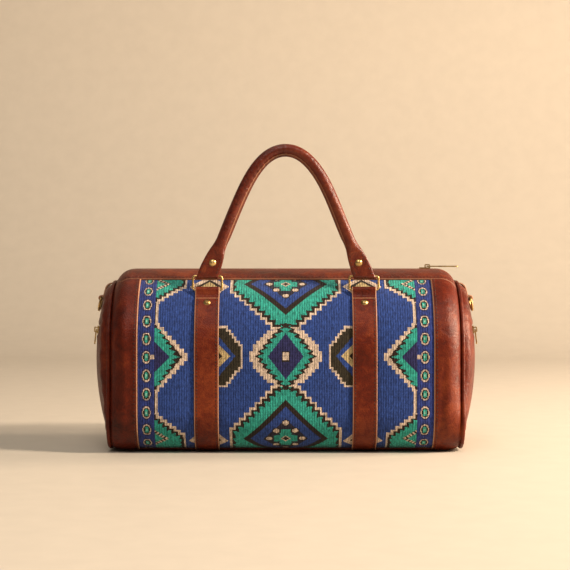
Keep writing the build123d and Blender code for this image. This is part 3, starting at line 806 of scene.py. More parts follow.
@dataclass(frozen=True)
class KilimPattern:
    """The kilim's traditional layout: stepped medallions, serrated diamonds and a beaded border.

    Every motif is a test on x, the way along from the middle, and t, the way up from it, and gives its masks
    and yarns, the lowest first. Sizes are in millimetres, and a pair is half a width and half a height."""

    x: Array
    t: Array
    border: float = 166.0
    line: float = 3.1
    diamond_middle: float = 108.0
    side_drop: float = 0.8
    tread: float = 6.6
    riser: float = 6.7
    medallion_start: float = 22.2
    medallion_half: float = 70.5
    oval_pitch: float = 23.3
    oval_x: float = 175.5

    @property
    def along(self) -> Array:
        """The way along from the middle, the same to both ends."""
        return np.abs(self.x)

    @property
    def inward(self) -> Array:
        """The way in from the border, negative on the border itself."""
        return self.border - np.abs(self.x)

    @property
    def off_diamond(self) -> Array:
        """The way up or down from the middle of the nearer large diamond."""
        return np.abs(np.abs(self.t) - self.diamond_middle)

    def colours(self) -> Array:
        """Lays the motifs over the blue field, one after the other.

        Returns:
            Linear colours for the cells, with a last axis of four.
        """
        cloth = np.empty(self.x.shape + (4,))
        cloth[:] = linear(Yarn.FIELD.value)
        for motif in (self.strap_diamonds, self.big_medallions, self.flowers, self.middle_medallion,
                      self.hexagons, self.side_medallions, self.corner_medallions, self.edge_lines,
                      self.border_beads):
            for mask, yarn in motif():
                cloth[mask] = linear(yarn.value)
        return cloth

    def strap_diamonds(self) -> Layers:
        """The banded diamonds behind the feet of the straps and behind the rings.

        Returns:
            Their layers.
        """
        middle, drop, half = 98.0, 6.0, (25.5, 26.0)
        out = reach(self.along - middle, np.abs(self.t + drop) - self.diamond_middle, half)
        return bands(out, (1.0, Yarn.CREAM), (0.66, Yarn.BROWN), (0.42, Yarn.SAND))

    def big_medallions(self) -> Layers:
        """The large half medallions above and below: a staircase in cream, brown and teal round a diamond.

        Returns:
            Their layers.
        """
        drop, gap, start, depth, side, notch = 1.5, 1.0, 5.5, 9.5, 4.0, 4.0
        ax = self.along
        v = np.abs(self.t + drop) - self.medallion_start

        def inside(shift: float) -> Array:
            """Within the staircase after it is drawn in by shift."""
            stair = v - shift >= self.riser * np.floor((ax + shift) / self.tread)
            return stair & (ax + shift <= self.medallion_half)

        tooth = teeth(ax + v, self.tread)
        teal = (inside(self.line + gap) & (v - ax > start + depth * tooth)
                & (ax < self.medallion_half - side - notch * tooth))
        return [(inside(0.0), Yarn.CREAM), (inside(self.line), Yarn.BROWN), (teal, Yarn.TEAL),
                *bands(ax + self.off_diamond, (53.8, Yarn.BROWN), (44.4, Yarn.FIELD), inside=teal)]

    def flowers(self) -> Layers:
        """A notched teal flower in each large medallion, with a dark heart and cream dots round it.

        Returns:
            Their layers.
        """
        ax = self.along
        av = self.off_diamond
        petals = np.any([within(ax, av, half) for half in ((15.2, 5.4), (6.6, 14.6), (11.5, 9.8))], axis=0)
        notch_x, half_x, from_v = 9.0, 1.2, 5.8
        notch_v, half_v, from_x = 7.4, 1.1, 7.2
        upright = (np.abs(ax - notch_x) < half_x) & (av > from_v)
        level = (np.abs(av - notch_v) < half_v) & (ax > from_x)
        ground, heart, seed, dot = (28.5, 30.0), (6.6, 5.4), (4.6, 3.6), (3.9, 3.0)
        layers = [(reach(ax, av, ground) < 1, Yarn.DUSK), (petals & ~(upright | level), Yarn.TEAL),
                  (reach(ax, av, heart) < 1, Yarn.CREAM), (reach(ax, av, seed) < 1, Yarn.BROWN)]
        for dot_x, dot_v in ((0.0, 24.0), (11.9, 13.0), (21.0, 0.0)):
            layers += bands(reach(ax - dot_x, av - dot_v, dot, 2.0), (2.0, Yarn.BROWN), (1.0, Yarn.CREAM))
        return layers

    def middle_medallion(self) -> Layers:
        """The small medallion in the middle: a lobed cream ring, a toothed teal diamond and a dark heart.

        Returns:
            Its layers.
        """
        ax = self.along
        at = np.abs(self.t)
        step, lobes, lobe_power, lobe_top = 4.4, (45.5, 40.0), 1.7, 38.0
        lobed = reach(step * np.round(ax / step), step * np.round(at / step), lobes, lobe_power)
        core, core_power, pitch = (31.0, 35.0), 1.15, 3.45
        out = reach(ax, at, core, core_power)
        tooth = teeth(at, pitch)
        brown, brown_depth, teal, teal_depth = 1.14, 0.16, 0.92, 0.24
        cross_t, line, arm, knot = 36.0, 1.7, 6.0, (3.0, 2.4)
        off = np.abs(at - cross_t)
        cross = (np.abs(ax - off) < line) & (off < arm) | within(ax, off, knot)
        heart, box, seed = (22.6, 29.0), (5.2, 6.6), (3.8, 5.0)
        return [((lobed < 1) & (at < lobe_top), Yarn.CREAM), (out < brown + brown_depth * tooth, Yarn.BROWN),
                (cross, Yarn.BROWN), (out < teal + teal_depth * tooth, Yarn.TEAL),
                (reach(ax, at, heart) < 1, Yarn.INDIGO), (within(ax, at, box), Yarn.BROWN),
                (within(ax, at, seed), Yarn.CREAM)]

    def hexagons(self) -> Layers:
        """The dark half hexagons that come out from under the straps, with a sand arrow inside.

        Returns:
            Their layers.
        """
        middle, far, half, flat, tread, riser = 100.0, 45.7, 38.9, 15.4, 3.7, 4.7
        line, slope, blue = 2.4, 0.83, 36.5
        e = middle - self.along
        b = np.abs(self.t)

        def inside(shift: float) -> Array:
            """Within the stepped hexagon after it is drawn in by shift."""
            edge = far - tread * np.ceil(np.clip(b + shift - flat, 0, None) / riser)
            return (e > 0) & (e + shift <= edge) & (b + shift <= half)

        dark = inside(line)
        return [(inside(0.0), Yarn.CREAM), (dark, Yarn.OLIVE), (dark & (e + slope * b < blue), Yarn.FIELD),
                *bands(e + b, (30.4, Yarn.SAND), (20.0, Yarn.BROWN), inside=dark)]

    def side_medallions(self) -> Layers:
        """The half medallions on the borders: cream steps, brown teeth and a toothed teal chevron.

        Returns:
            Their layers.
        """
        far, half, tread, riser, pitch = 42.7, 43.5, 5.1, 5.4, 3.4
        brown, brown_depth, brown_half = (35.0, 42.0), 2.0, 41.0
        teal, teal_depth, heart = (25.0, 38.0), 7.0, (19.7, 20.5)
        a = self.inward
        b = np.abs(self.t + self.side_drop)
        tooth = teeth(b, pitch)

        def wedge(size: Pair, depth: float) -> Array:
            """Within a wedge of that reach and height, with teeth of that depth."""
            return (a >= 0) & (a <= size[0] * (1 - b / size[1]) + depth * tooth)

        return [((a >= 0) & (a <= far - tread * np.floor(b / riser)) & (b < half), Yarn.CREAM),
                (wedge(brown, brown_depth) & (b < brown_half), Yarn.BROWN),
                (wedge(teal, teal_depth) & (b < teal[1]), Yarn.TEAL), (wedge(heart, 0.0), Yarn.INDIGO)]

    def corner_medallions(self) -> Layers:
        """The quarter medallions in the corners: teal behind a stepped cream line, round a barred diamond.

        Returns:
            Their layers.
        """
        low_edge, half, tread, riser, gap = 70.5, 39.4, 5.5, 4.6, 0.8
        slope, pitch, start, depth, side, notch = 0.84, 5.0, 5.0, 7.0, 34.2, 2.5
        diamond, low, high, bar = (16.4, 13.0), 0.7, 1.14, 3.1
        a = self.inward
        v = np.abs(self.t) - low_edge

        def inside(shift: float) -> Array:
            """Within the corner's staircase after it is drawn in by shift."""
            stair = a + shift <= tread * np.ceil((v - shift) / riser)
            return (a >= 0) & stair & (a + shift <= half)

        tooth = teeth(a + v, pitch)
        teal = inside(self.line + gap) & (v - slope * a > start + depth * tooth) & (a < side - notch * tooth)
        out = reach(a, self.off_diamond, diamond)
        stripe = inside(self.line) & (out > low) & (out < high)
        barred = stripe & ((a - self.off_diamond) / bar % 2 < 1)
        return [(inside(0.0), Yarn.CREAM), (inside(self.line), Yarn.BROWN), (teal, Yarn.TEAL),
                (stripe, Yarn.BROWN), (barred, Yarn.CREAM)]

    def edge_lines(self) -> Layers:
        """The cream lines along the border, between the side and corner medallions.

        Returns:
            Their layers.
        """
        low, high, brown, cream = 42.5, 72.0, (-0.6, 2.0), (1.6, 5.0)
        between = (np.abs(self.t + self.side_drop) > low) & (np.abs(self.t) < high)
        return [(between & (self.inward > start) & (self.inward < stop), yarn)
                for (start, stop), yarn in ((brown, Yarn.BROWN), (cream, Yarn.CREAM))]

    def border_beads(self) -> Layers:
        """The border: a dark strip with a row of ringed ovals, and a cream tip by each side medallion.

        Returns:
            Their layers.
        """
        drop, oval, heart, power, tip_x, tip = 1.2, (5.1, 7.7), (2.7, 4.3), 2.4, 168.0, (2.0, 3.2)
        strip = self.along > self.border
        row = (self.t + drop) / self.oval_pitch
        up = (row - np.round(row)) * self.oval_pitch
        across = self.along - self.oval_x
        return [(strip, Yarn.BORDER),
                *bands(reach(across, up, oval, power), (1.6, Yarn.INDIGO), (1.0, Yarn.CREAM),
                       (0.56, Yarn.BROWN), inside=strip),
                *bands(reach(across, up, heart, power), (1.0, Yarn.TEAL), (0.13, Yarn.MINT), inside=strip),
                (within(self.along - tip_x, self.t + self.side_drop, tip), Yarn.CREAM)]


@dataclass
class KilimPanels:
    """The two woven panels, cut to run under the leather along all their edges."""

    form: BagForm
    finish: Finishes
    cell: float = 1.1
    under: float = 5.0
    drop: float = -2.4
    pillow: float = 1.1
    pillow_run: float = 7.0
    pillow_edge: float = 8.0
    ease_low: float = 25.0
    ease_high: Pair = (45.0, 10.0)
    pattern_middle: float = 220.9
    seed: int = 7
    cord_spread: float = 0.05
    cell_spread: float = 0.1
    tone_limits: Pair = (0.7, 1.3)

    def pillowed(self, w: Array) -> Array:
        """The cloth stands up a little away from the straps' edges, as 1 - exp(-distance / run).

        Args:
            w: The way along.

        Returns:
            How far the cloth stands up, in millimetres.
        """
        gap = np.abs(np.abs(w) - self.form.strap_x) - self.form.strap_width / 2
        edge = np.clip((self.form.kilim_half - np.abs(w)) / self.pillow_edge, 0, 1)
        return self.pillow * (1 - np.exp(-np.clip(gap, 0, None) / self.pillow_run)) * edge

    def build(self, side: Side) -> Object:
        """Weaves one panel: a grid of cells on the bag's skin, each cell with its own yarn.

        Args:
            side: Which face of the bag.

        Returns:
            The panel.
        """
        half = self.form.kilim_half + self.under
        low = self.form.base_seam - self.under
        high = self.form.zip_seam + self.under
        w = np.linspace(-half, half, int(2 * half / self.cell) + 1)[:, None]
        s = np.linspace(low, high, int((high - low) / self.cell) + 1)[None, :]
        fall, flat_top = self.ease_high
        window = smooth(s, low, low + self.ease_low) * (1 - smooth(s, high - fall, high - flat_top))
        places, normals = self.form.skin(w, s * side.value, self.drop + self.pillowed(w) * window)
        obj = open_grid(side.word + "_kilim", places, normals, self.finish.kilim)
        middle_w = (w[:-1] + w[1:]) / 2 * np.ones_like(s[:, :-1])
        middle_t = (s[:, :-1] + s[:, 1:]) / 2 - self.pattern_middle + np.zeros_like(middle_w)
        colours = KilimPattern(middle_w, middle_t).colours()
        chance = np.random.default_rng(self.seed)
        cord_tone = chance.normal(1.0, self.cord_spread, (len(w) - 1, 1, 1))
        cell_tone = chance.normal(1.0, self.cell_spread, middle_w.shape + (1,)).clip(*self.tone_limits)
        colours[..., :3] *= cord_tone * cell_tone
        layer = obj.data.attributes.new("weave", "FLOAT_COLOR", "FACE")
        layer.data.foreach_set("color", np.clip(colours, 0, 1).astype(np.float32).ravel())
        flat = np.stack(np.broadcast_arrays(w * MM, s * MM), axis=-1).reshape(-1, 2)
        corners = np.empty(len(obj.data.loops), dtype=np.int32)
        obj.data.loops.foreach_get("vertex_index", corners)
        uv = obj.data.uv_layers.new(name="cloth")
        uv.data.foreach_set("uv", flat[corners].astype(np.float32).ravel())
        fasten(obj, "bag", side.word + "_kilim_panel")
        return obj


@dataclass
class LeatherTrim:
    """The leather skin: four end bands, the two strips beside the zip, and the base."""

    form: BagForm
    finish: Finishes
    roll: float = 1.5
    roll_lines: int = 5
    thickness: float = 2.2
    seam_gap: float = 0.15
    spacing: float = 3.0
    strip_spacing: float = 2.5
    strip_width: float = 60.0
    strip_blend: Pair = (0.2, 0.8)
    stitch_inset: float = 4.0
    stitch_pitch: float = 4.6
    stitch_lift: float = 0.1
    stitch_margin: float = 2.0
    stitch_past: float = 8.0
    line_points: int = 400
    zip_half: float = 7.0
    slot_half: float = 200.0
    slot_corner: float = 1.2
    raw: float = 0.6
    strip_raw: float = 0.4
    raw_width: float = 1.3

    def lines(self, low: float, high: float, step: float) -> tuple[Array, Array]:
        """Grid lines between two cut edges, crowded where the edge is turned down.

        Args:
            low: One edge.
            high: The other edge.
            step: The spacing between them.

        Returns:
            The lines' places and how far the leather lies below its skin at each.
        """
        turn = np.linspace(0, QUARTER, self.roll_lines)
        over = self.roll * (1 - np.cos(turn))
        down = -self.roll * (1 - np.sin(turn))
        count = max(int((high - low - 2 * self.roll) / step), 2)
        middle = np.linspace(low + self.roll, high - self.roll, count + 1)[1:-1]
        places = np.concatenate([[low], low + over, middle, (high - over)[::-1], [high]])
        foot = [-self.thickness]
        drops = np.concatenate([foot, down, np.zeros(len(middle)), down[::-1], foot])
        return places, drops

    def panel(self, name: str, node: str, w: Pair, s: Pair, side: Side = Side.FRONT) -> Object:
        """A leather panel on the skin, with all four edges turned down and the cut edge by the kilim raw.

        Args:
            name: The piece's name.
            node: The solid that it stands for.
            w: Its two edges along the bag.
            s: Its two edges up the bag.
            side: Which face of the bag.

        Returns:
            The panel.
        """
        along, drop_along = self.lines(*w, self.spacing)
        up, drop_up = self.lines(*s, self.spacing)
        drop = np.minimum(drop_along[:, None], drop_up[None, :])
        places, normals = self.form.skin(along[:, None], side.value * up[None, :], drop)
        raw = self.raw * (np.abs(np.abs(along) - self.form.kilim_half) < self.raw_width)
        tags = {"edge": np.broadcast_to(raw[:, None], drop.shape)} if up[0] > 0 else None
        return fasten(open_grid(name, places, normals, self.finish.leather, tags), "bag", node)

    def zip_strip(self, side: Side) -> Object:
        """The strip beside the zip: its upper edge follows the zip's slot and closes to the middle beyond it.

        Args:
            side: Which face of the bag.

        Returns:
            The strip.
        """
        form = self.form
        along, drop_along = self.lines(-form.panel_end, form.panel_end, self.strip_spacing)
        corner = self.slot_corner * np.array([-1.0, -0.5, 0.0, 0.5, 1.0])
        along = np.concatenate([along, self.slot_half + corner, -self.slot_half + corner])
        drop_along = np.concatenate([drop_along, np.zeros(2 * len(corner))])
        order = np.argsort(along, kind="stable")
        along, drop_along = along[order], drop_along[order]
        share, drop_up = self.lines(0.0, self.strip_width, self.strip_spacing)
        top = form.half_girth - self.seam_gap
        closing = smooth(np.abs(along), self.slot_half - self.slot_corner, self.slot_half + self.slot_corner)
        upper = top - self.zip_half * (1 - closing)
        lower = form.zip_seam + self.seam_gap
        from_low = share[None, :] + lower
        from_high = upper[:, None] - (share[-1] - share[None, :])
        start, stop = self.strip_blend
        mix = smooth(share, start * self.strip_width, stop * self.strip_width)[None, :]
        up = from_low * (1 - mix) + from_high * mix
        drop = np.minimum(drop_along[:, None], drop_up[None, :])
        places, normals = form.skin(along[:, None], side.value * up, drop)
        tags = {"edge": np.broadcast_to(self.strip_raw * self.raw * (share < self.raw_width), drop.shape)}
        obj = open_grid(side.word + "_zip_strip", places, normals, self.finish.leather, tags)
        return fasten(obj, "bag", side.word + "_zip_band")

    def seam(self, name: str, w: Array, s: Array) -> Object:
        """A row of stitches along a line on the skin.

        Args:
            name: The piece's name.
            w: The line's places along the bag.
            s: The line's places up the bag, negative on the back.

        Returns:
            The stitches.
        """
        line = self.form.skin(w, s, np.full(len(w), self.stitch_lift))
        count = int(np.linalg.norm(np.diff(line[0], axis=0), axis=1).sum() / self.stitch_pitch)
        pick = np.linspace(0, len(w) - 1, count)
        at = np.arange(len(w))
        middle, up = (np.stack([np.interp(pick, at, row) for row in part.T], axis=-1) for part in line)
        return fasten(stitch_rows(name, middle, np.gradient(middle, axis=0), up, self.finish.thread), "bag")

    def build(self) -> list[Object]:
        """Cuts and sews every panel.

        Returns:
            The panels and their stitches.
        """
        form = self.form
        low = form.base_seam + self.seam_gap
        high = form.zip_seam - self.seam_gap
        base = form.base_seam - self.seam_gap
        made = [self.panel("leather_base", "base_panel", (-form.panel_end, form.panel_end), (-base, base))]
        fine = np.linspace(0, 1, self.line_points)
        upright = low + self.stitch_margin + fine * (high - low - 2 * self.stitch_margin)
        span = (2 * fine - 1) * (form.straight + self.stitch_past)
        for side in Side:
            made.append(self.zip_strip(side))
            for end in End:
                edges = tuple(sorted((end.value * form.kilim_half, end.value * form.panel_end)))
                name = f"{side.word}_{end.word}"
                made.append(self.panel(name + "_leather_band", name + "_band", edges, (low, high), side))
                column = np.full(self.line_points, end.value * (form.kilim_half + self.stitch_inset))
                made.append(self.seam(name + "_band_stitches", column, side.value * upright))
            for row, way_up in (("_zip_strip_stitches", form.zip_seam + self.stitch_inset),
                                ("_base_stitches", form.base_seam - self.stitch_inset)):
                made.append(self.seam(side.word + row, span, np.full(self.line_points, side.value * way_up)))
        return made


@dataclass
class Straps:
    """The four straps: up from the base seam, over the ring's bar and back down behind it."""

    form: BagForm
    finish: Finishes
    thickness: float = 3.2
    outer: float = 1.0
    loop_leather: float = 2.2
    loop_turn: Pair = (-48.0, 205.0)
    loop_rows: int = 18
    bore: float = 1.8
    spacing: float = 3.0
    tuck: float = 1.0
    fold_from: float = 17.0
    fold: tuple[float, ...] = (15.0, 14.2, 13.4, 13.0, 12.4, 10.6, 8.5, 6.6)
    fold_thick: tuple[float, ...] = (2.9, 1.9, 1.9, 2.0, 2.2)
    fold_lift: Pair = (0.1, 0.5)
    fold_edge: float = 13.4
    fold_edge_half: float = 0.5
    fold_raw: float = 0.45
    groove: float = 0.1
    groove_at: float = 0.78
    groove_width: float = 0.07
    raw: float = 0.6
    raw_from: float = 0.93
    stitch_inset: float = 3.4
    stitch_pitch: float = 4.4
    stitch_sink: float = 0.1
    stitch_start: float = 4.0
    stitch_stop: float = 13.0

    def path(self) -> tuple[Array, Array, Array]:
        """The strap's middle line in the bag's section.

        Up the skin at half its depth, out over the ring's bar on a circle, and in again behind it.

        Returns:
            Way up, lift from the skin, and leather thickness along the line.
        """
        ring = self.form.ring_line
        bar = self.bore + self.loop_leather - self.form.ring_sink
        out = self.bore + self.loop_leather / 2
        rows = np.arange(self.form.base_seam - self.tuck, ring - self.fold_from, self.spacing)
        up = np.concatenate([rows, ring - np.array(self.fold)])
        thick = np.full(len(up), self.thickness)
        thick[-len(self.fold_thick):] = self.fold_thick
        lift = self.outer - self.thickness + thick / 2
        lift[-len(self.fold_lift):] += self.fold_lift
        turn = np.radians(np.linspace(*self.loop_turn, self.loop_rows))
        up = np.concatenate([up, ring + out * np.sin(turn)])
        lift = np.concatenate([lift, bar + out * np.cos(turn)])
        thick = np.concatenate([thick, np.full(len(turn), self.loop_leather)])
        return up, lift, thick

    def outline(self) -> tuple[Array, Array, Array]:
        """The strap's cross-section as a rounded bar, from -1 to 1 each way, and where its cut edge is.

        Returns:
            Places across, places through, and how raw the edge is.
        """
        front = np.concatenate([[-0.95, -0.91], np.linspace(-0.87, 0.87, 15), [0.91, 0.95]])
        back = np.linspace(0.95, -0.95, 7)
        side = np.array([0.985, 1.0, 1.0, 1.0, 0.985])
        fall = np.array([0.88, 0.5, 0.0, -0.5, -0.88])
        across = np.concatenate([front, side, back, -side])
        through = np.concatenate([np.ones(len(front)), fall, -np.ones(len(back)), fall[::-1]])
        through[:len(front)] -= self.groove * bump_at(np.abs(front) - self.groove_at, self.groove_width)
        return across, through, self.raw * (np.abs(across) > self.raw_from)

    def build(self, side: Side, end: End) -> list[Object]:
        """Makes one strap and its stitches.

        Args:
            side: Which face of the bag.
            end: Which end it is nearer to.

        Returns:
            The strap and its two rows of stitches.
        """
        form = self.form
        sign = side.value
        x = form.strap_x * end.value
        up, lift, thick = self.path()
        across, through, edge = self.outline()
        middle, normal = form.skin(np.full(len(up), x), sign * up, np.zeros(len(up)))
        line = middle + normal * lift[:, None]
        way = unit(np.gradient(line, axis=0))
        face = unit(np.cross(way, np.array([1.0, 0.0, 0.0])) * -sign)
        rings = line[:, None] + face[:, None] * (through[None, :] * thick[:, None] / 2)[..., None]
        rings[..., 0] += across[None, :] * form.strap_width / 2
        name = f"{side.word}_{end.word}_strap"
        end_line = self.fold_raw * (np.abs(form.ring_line - up - self.fold_edge) < self.fold_edge_half)
        tags = {"edge": np.maximum(edge[None, :], end_line[:, None])}
        strap = closed_tube(name + "_leather", rings, self.finish.leather, tags=tags)
        fasten(strap, "bag", name)
        at = np.arange(form.base_seam + self.stitch_start, form.ring_line - self.stitch_stop,
                       self.stitch_pitch)
        rows = []
        for shift in (-1, 1):
            places, normals = form.skin(np.full(len(at), x), sign * at,
                                        np.full(len(at), self.outer - self.stitch_sink))
            places[:, 0] += shift * (form.strap_width / 2 - self.stitch_inset)
            rows.append((places, np.gradient(places, axis=0), normals))
        joined = [np.concatenate(part) for part in zip(*rows)]
        return [strap, fasten(stitch_rows(name + "_stitches", *joined, self.finish.thread), "bag")]


@dataclass
class Handle:
    """A rolled handle: a flat tab folded round each ring's bar, flaring into a round roll with a sewn fin.

    The folds and the bend are in degrees, and sizes round the roll are in radians."""

    form: BagForm
    finish: Finishes
    side: Side
    ring_fold: float
    tab_fold: float
    bend: float
    radius: float = 6.9
    rise: float = 162.0
    arch_radius: float = 52.0
    arch_start: float = 67.5
    arch_pulls: Pair = (36.0, 45.0)
    arch_points: int = 400
    spacing: float = 1.5
    bend_at: float = 84.0
    bend_reach: float = 28.08
    loop: float = 4.0
    loop_thin: float = 0.02
    level_run: Pair = (2.0, 12.0)
    tab_width: float = 28.0
    tab_neck: float = 23.0
    tab_length: float = 26.0
    flare: float = 26.0
    flare_lead: float = 4.0
    square: float = 7.0
    square_run: Pair = (-6.0, 14.0)
    ring_height: float = 17.5
    around: int = 64
    fin: float = 2.6
    fin_edge: Pair = (0.16, 0.36)
    fin_lead: float = 6.0
    crumple: float = 0.3
    crumple_run: Pair = (95.0, 130.0)
    crumple_width: float = 1.5
    crumple_lengths: Pair = (1.2, 11.0)
    crumple_sway: float = 1.5
    uneven: float = 0.16
    uneven_length: float = 17.0
    layer_line: float = 0.06
    layer_width: float = 0.1
    tab_raw: float = 0.6
    tab_raw_from: float = 0.985
    fin_raw: float = 0.55
    fin_raw_at: float = 0.37
    fin_raw_width: float = 0.06
    cord_radius: float = 4.4
    cord_from: float = 0.6
    cord_sides: int = 16
    stitch_step: int = 3
    stitch_from: float = 3.0
    stitch_inset: float = 3.2
    fin_stitch: Pair = (1.3, 1.5)

    @property
    def name(self) -> str:
        """The handle's solid and body."""
        return self.side.word + "_handle"

    @property
    def lean(self) -> float:
        """How far each leg leans in: the way to the arch's middle, less the arch's own share.

        Returns:
            The lean in radians.
        """
        arch = self.rise - self.arch_radius
        x = self.form.strap_x
        return math.atan2(x, arch) - math.asin(self.arch_radius / math.hypot(x, arch))

    def path(self) -> tuple[Array, Array]:
        """The roll's middle line from bar to bar: straight legs under an arch, then bent as soft leather.

        Each half of the arch is a cubic curve from the apex to its leg. The bend carries the line's height
        along an upright line, an arc and a leaning line, in turn.

        Returns:
            Places in the handle's own frame about a millimetre and a half apart, and how far each is bent.
        """
        x = self.form.strap_x
        leg = np.array([x - self.arch_start * math.tan(self.lean), self.arch_start])
        near, far = self.arch_pulls
        pull = leg + far * np.array([-math.sin(self.lean), math.cos(self.lean)])
        t = np.linspace(0, 1, self.arch_points)[:, None]
        half = (np.array([0.0, self.rise]) * (1 - t) ** 3 + np.array([near, self.rise]) * 3 * t * (1 - t) ** 2
                + pull * 3 * t ** 2 * (1 - t) + leg * t ** 3)
        foot = np.array([[x + self.loop * math.sin(self.lean), -self.loop * math.cos(self.lean)]])
        right = np.concatenate([half, foot])
        flat = np.concatenate([right[::-1], right[1:] * np.array([-1.0, 1.0])])
        run = np.concatenate([[0.0], np.cumsum(np.linalg.norm(np.diff(flat, axis=0), axis=1))])
        even = np.linspace(0, run[-1], int(run[-1] / self.spacing))
        across, height = (np.interp(even, run, row) for row in flat.T)
        if not self.bend:
            return np.stack([across, np.zeros_like(height), height], axis=-1), np.zeros_like(height)
        bend = math.radians(self.bend)
        corner = self.bend_at * math.cos(self.lean)
        turn = bend * np.clip((height - corner + self.bend_reach) / (2 * self.bend_reach), 0, 1)
        radius = self.bend_reach / math.tan(bend / 2)
        past = np.clip(height - corner - self.bend_reach, 0, None)
        low = np.minimum(height, corner - self.bend_reach)
        forward = -radius * (1 - np.cos(turn)) - past * math.sin(bend)
        up = low + radius * np.sin(turn) + past * math.cos(bend)
        return np.stack([across, forward, up], axis=-1), turn

    def place(self, points: Array) -> Array:
        """Stands the handle on its rings: turned about the upper bar, then about the rings' own bar.

        Args:
            points: Places in the handle's own frame.

        Returns:
            Places in the bag's frame.
        """
        def turned(vectors: Array, angle: float) -> Array:
            """Turned forward about X.

            Args:
                vectors: Places to turn.
                angle: How far, in degrees.

            Returns:
                The turned places.
            """
            c, s = math.cos(math.radians(angle)), math.sin(math.radians(angle))
            y, z = vectors[..., 1], vectors[..., 2]
            return np.stack([vectors[..., 0], y * c - z * s, y * s + z * c], axis=-1)

        up = np.array([0.0, 0.0, self.ring_height])
        out = self.form.top_radius - self.form.ring_sink + self.loop
        angle = math.radians(self.form.ring_angle)
        axis = np.array([0.0, -self.form.top_flat / 2 - out * math.cos(angle),
                         self.form.height - self.form.top_radius + out * math.sin(angle)])
        placed = turned(turned(points, self.tab_fold) + up, self.ring_fold) + axis
        return placed * np.array([1.0, self.side.value, 1.0])

    def build(self) -> list[Object]:
        """Sweeps the handle's section along its line: a flat rounded bar at the tabs, a round at the roll.

        The section is a superellipse whose power falls from square to 2 along the flare; the fin is a narrow
        bump on the inner side, and the wrinkles are short waves across the inside of the arch.

        Returns:
            The handle, its cord and its stitches.
        """
        path, bent = self.path()
        step = np.linalg.norm(np.diff(path, axis=0), axis=1)
        run = np.concatenate([[0.0], np.cumsum(step)])
        far = np.minimum(run, run[-1] - run) - self.loop
        way = unit(np.gradient(path, axis=0))
        deep = np.stack([np.zeros(len(path)), np.cos(bent), np.sin(bent)], axis=-1)
        wide = unit(np.cross(deep, way))
        level = smooth(far, *self.level_run)[:, None]
        wide = unit(wide * level + np.array([1.0, 0.0, 0.0]) * np.sign(way[:, 2:3]) * (1 - level))
        tab = self.tab_length
        rounding = smooth(far, tab - self.flare_lead, tab + self.flare)
        taper = np.clip(far / tab, 0, 1)
        flat_half = self.tab_width / 2 + (self.tab_neck - self.tab_width) / 2 * taper
        half_wide = flat_half * (1 - rounding) + self.radius * rounding
        closing = np.sqrt(np.clip(1 - (np.minimum(far, 0) / self.loop) ** 2, self.loop_thin, 1))
        half_deep = (self.loop * closing) * (1 - rounding) + self.radius * rounding
        square_to, round_from = self.square_run
        power = self.square - (self.square - 2) * smooth(far, tab + square_to, tab + round_from)
        power = power[:, None]
        theta = np.arange(self.around) * TURN / self.around
        c, s = np.cos(theta)[None, :], np.sin(theta)[None, :]
        radial = (np.abs(c) ** power + np.abs(s) ** power) ** (-1 / power)
        off = np.abs(np.angle(np.exp(1j * (theta - math.pi))))[None, :]
        inner = 1 - smooth(off, *self.fin_edge)
        fin_run = smooth(far, tab + self.fin_lead, tab + self.flare + self.fin_lead)[:, None]
        swell = self.fin * inner * fin_run
        inside = bump_at(off, self.crumple_width) * (1 - inner)
        along = run[:, None]
        short, long = self.crumple_lengths
        wave = np.sin(along / short + self.crumple_sway * np.sin(along / long) + 2 * theta[None, :])
        wrinkle = (self.crumple * smooth(far, *self.crumple_run)[:, None] * inside * wave
                   + self.uneven * np.sin(along / self.uneven_length + 3 * theta[None, :]) * fin_run)
        layers = 1 - self.layer_line * bump_at(s, self.layer_width) * (1 - fin_run)
        a = radial * c * half_wide[:, None] * layers + (swell + wrinkle) * c
        b = radial * s * half_deep[:, None] + wrinkle * s
        rings = path[:, None] + wide[:, None] * a[..., None] + deep[:, None] * b[..., None]
        cut = ((np.abs(c) > self.tab_raw_from) * (1 - fin_run) * self.tab_raw
               + bump_at(off - self.fin_raw_at, self.fin_raw_width) * fin_run * self.fin_raw)
        obj = closed_tube(self.name + "_leather", self.place(rings), self.finish.roll,
                          tags={"edge": cut})
        roll = rounding > self.cord_from
        return [fasten(obj, self.name, self.name), self.cord(path[roll], wide[roll], deep[roll]),
                self.stitching(path, way, wide, deep, far, half_wide, half_deep)]

    def cord(self, path: Array, wide: Array, deep: Array) -> Object:
        """The cord inside the roll, a round tube along its middle line.

        Args:
            path: The middle line, without the tabs.
            wide: The direction across the handle.
            deep: The direction through it.

        Returns:
            The cord.
        """
        theta = (np.arange(self.cord_sides) * TURN / self.cord_sides)[None, :, None]
        ring = np.cos(theta) * wide[:, None] + np.sin(theta) * deep[:, None]
        node = self.name + "_core"
        tube = self.place(path[:, None] + self.cord_radius * ring)
        return fasten(closed_tube(node + "_cord", tube, self.finish.cord), self.name, node)

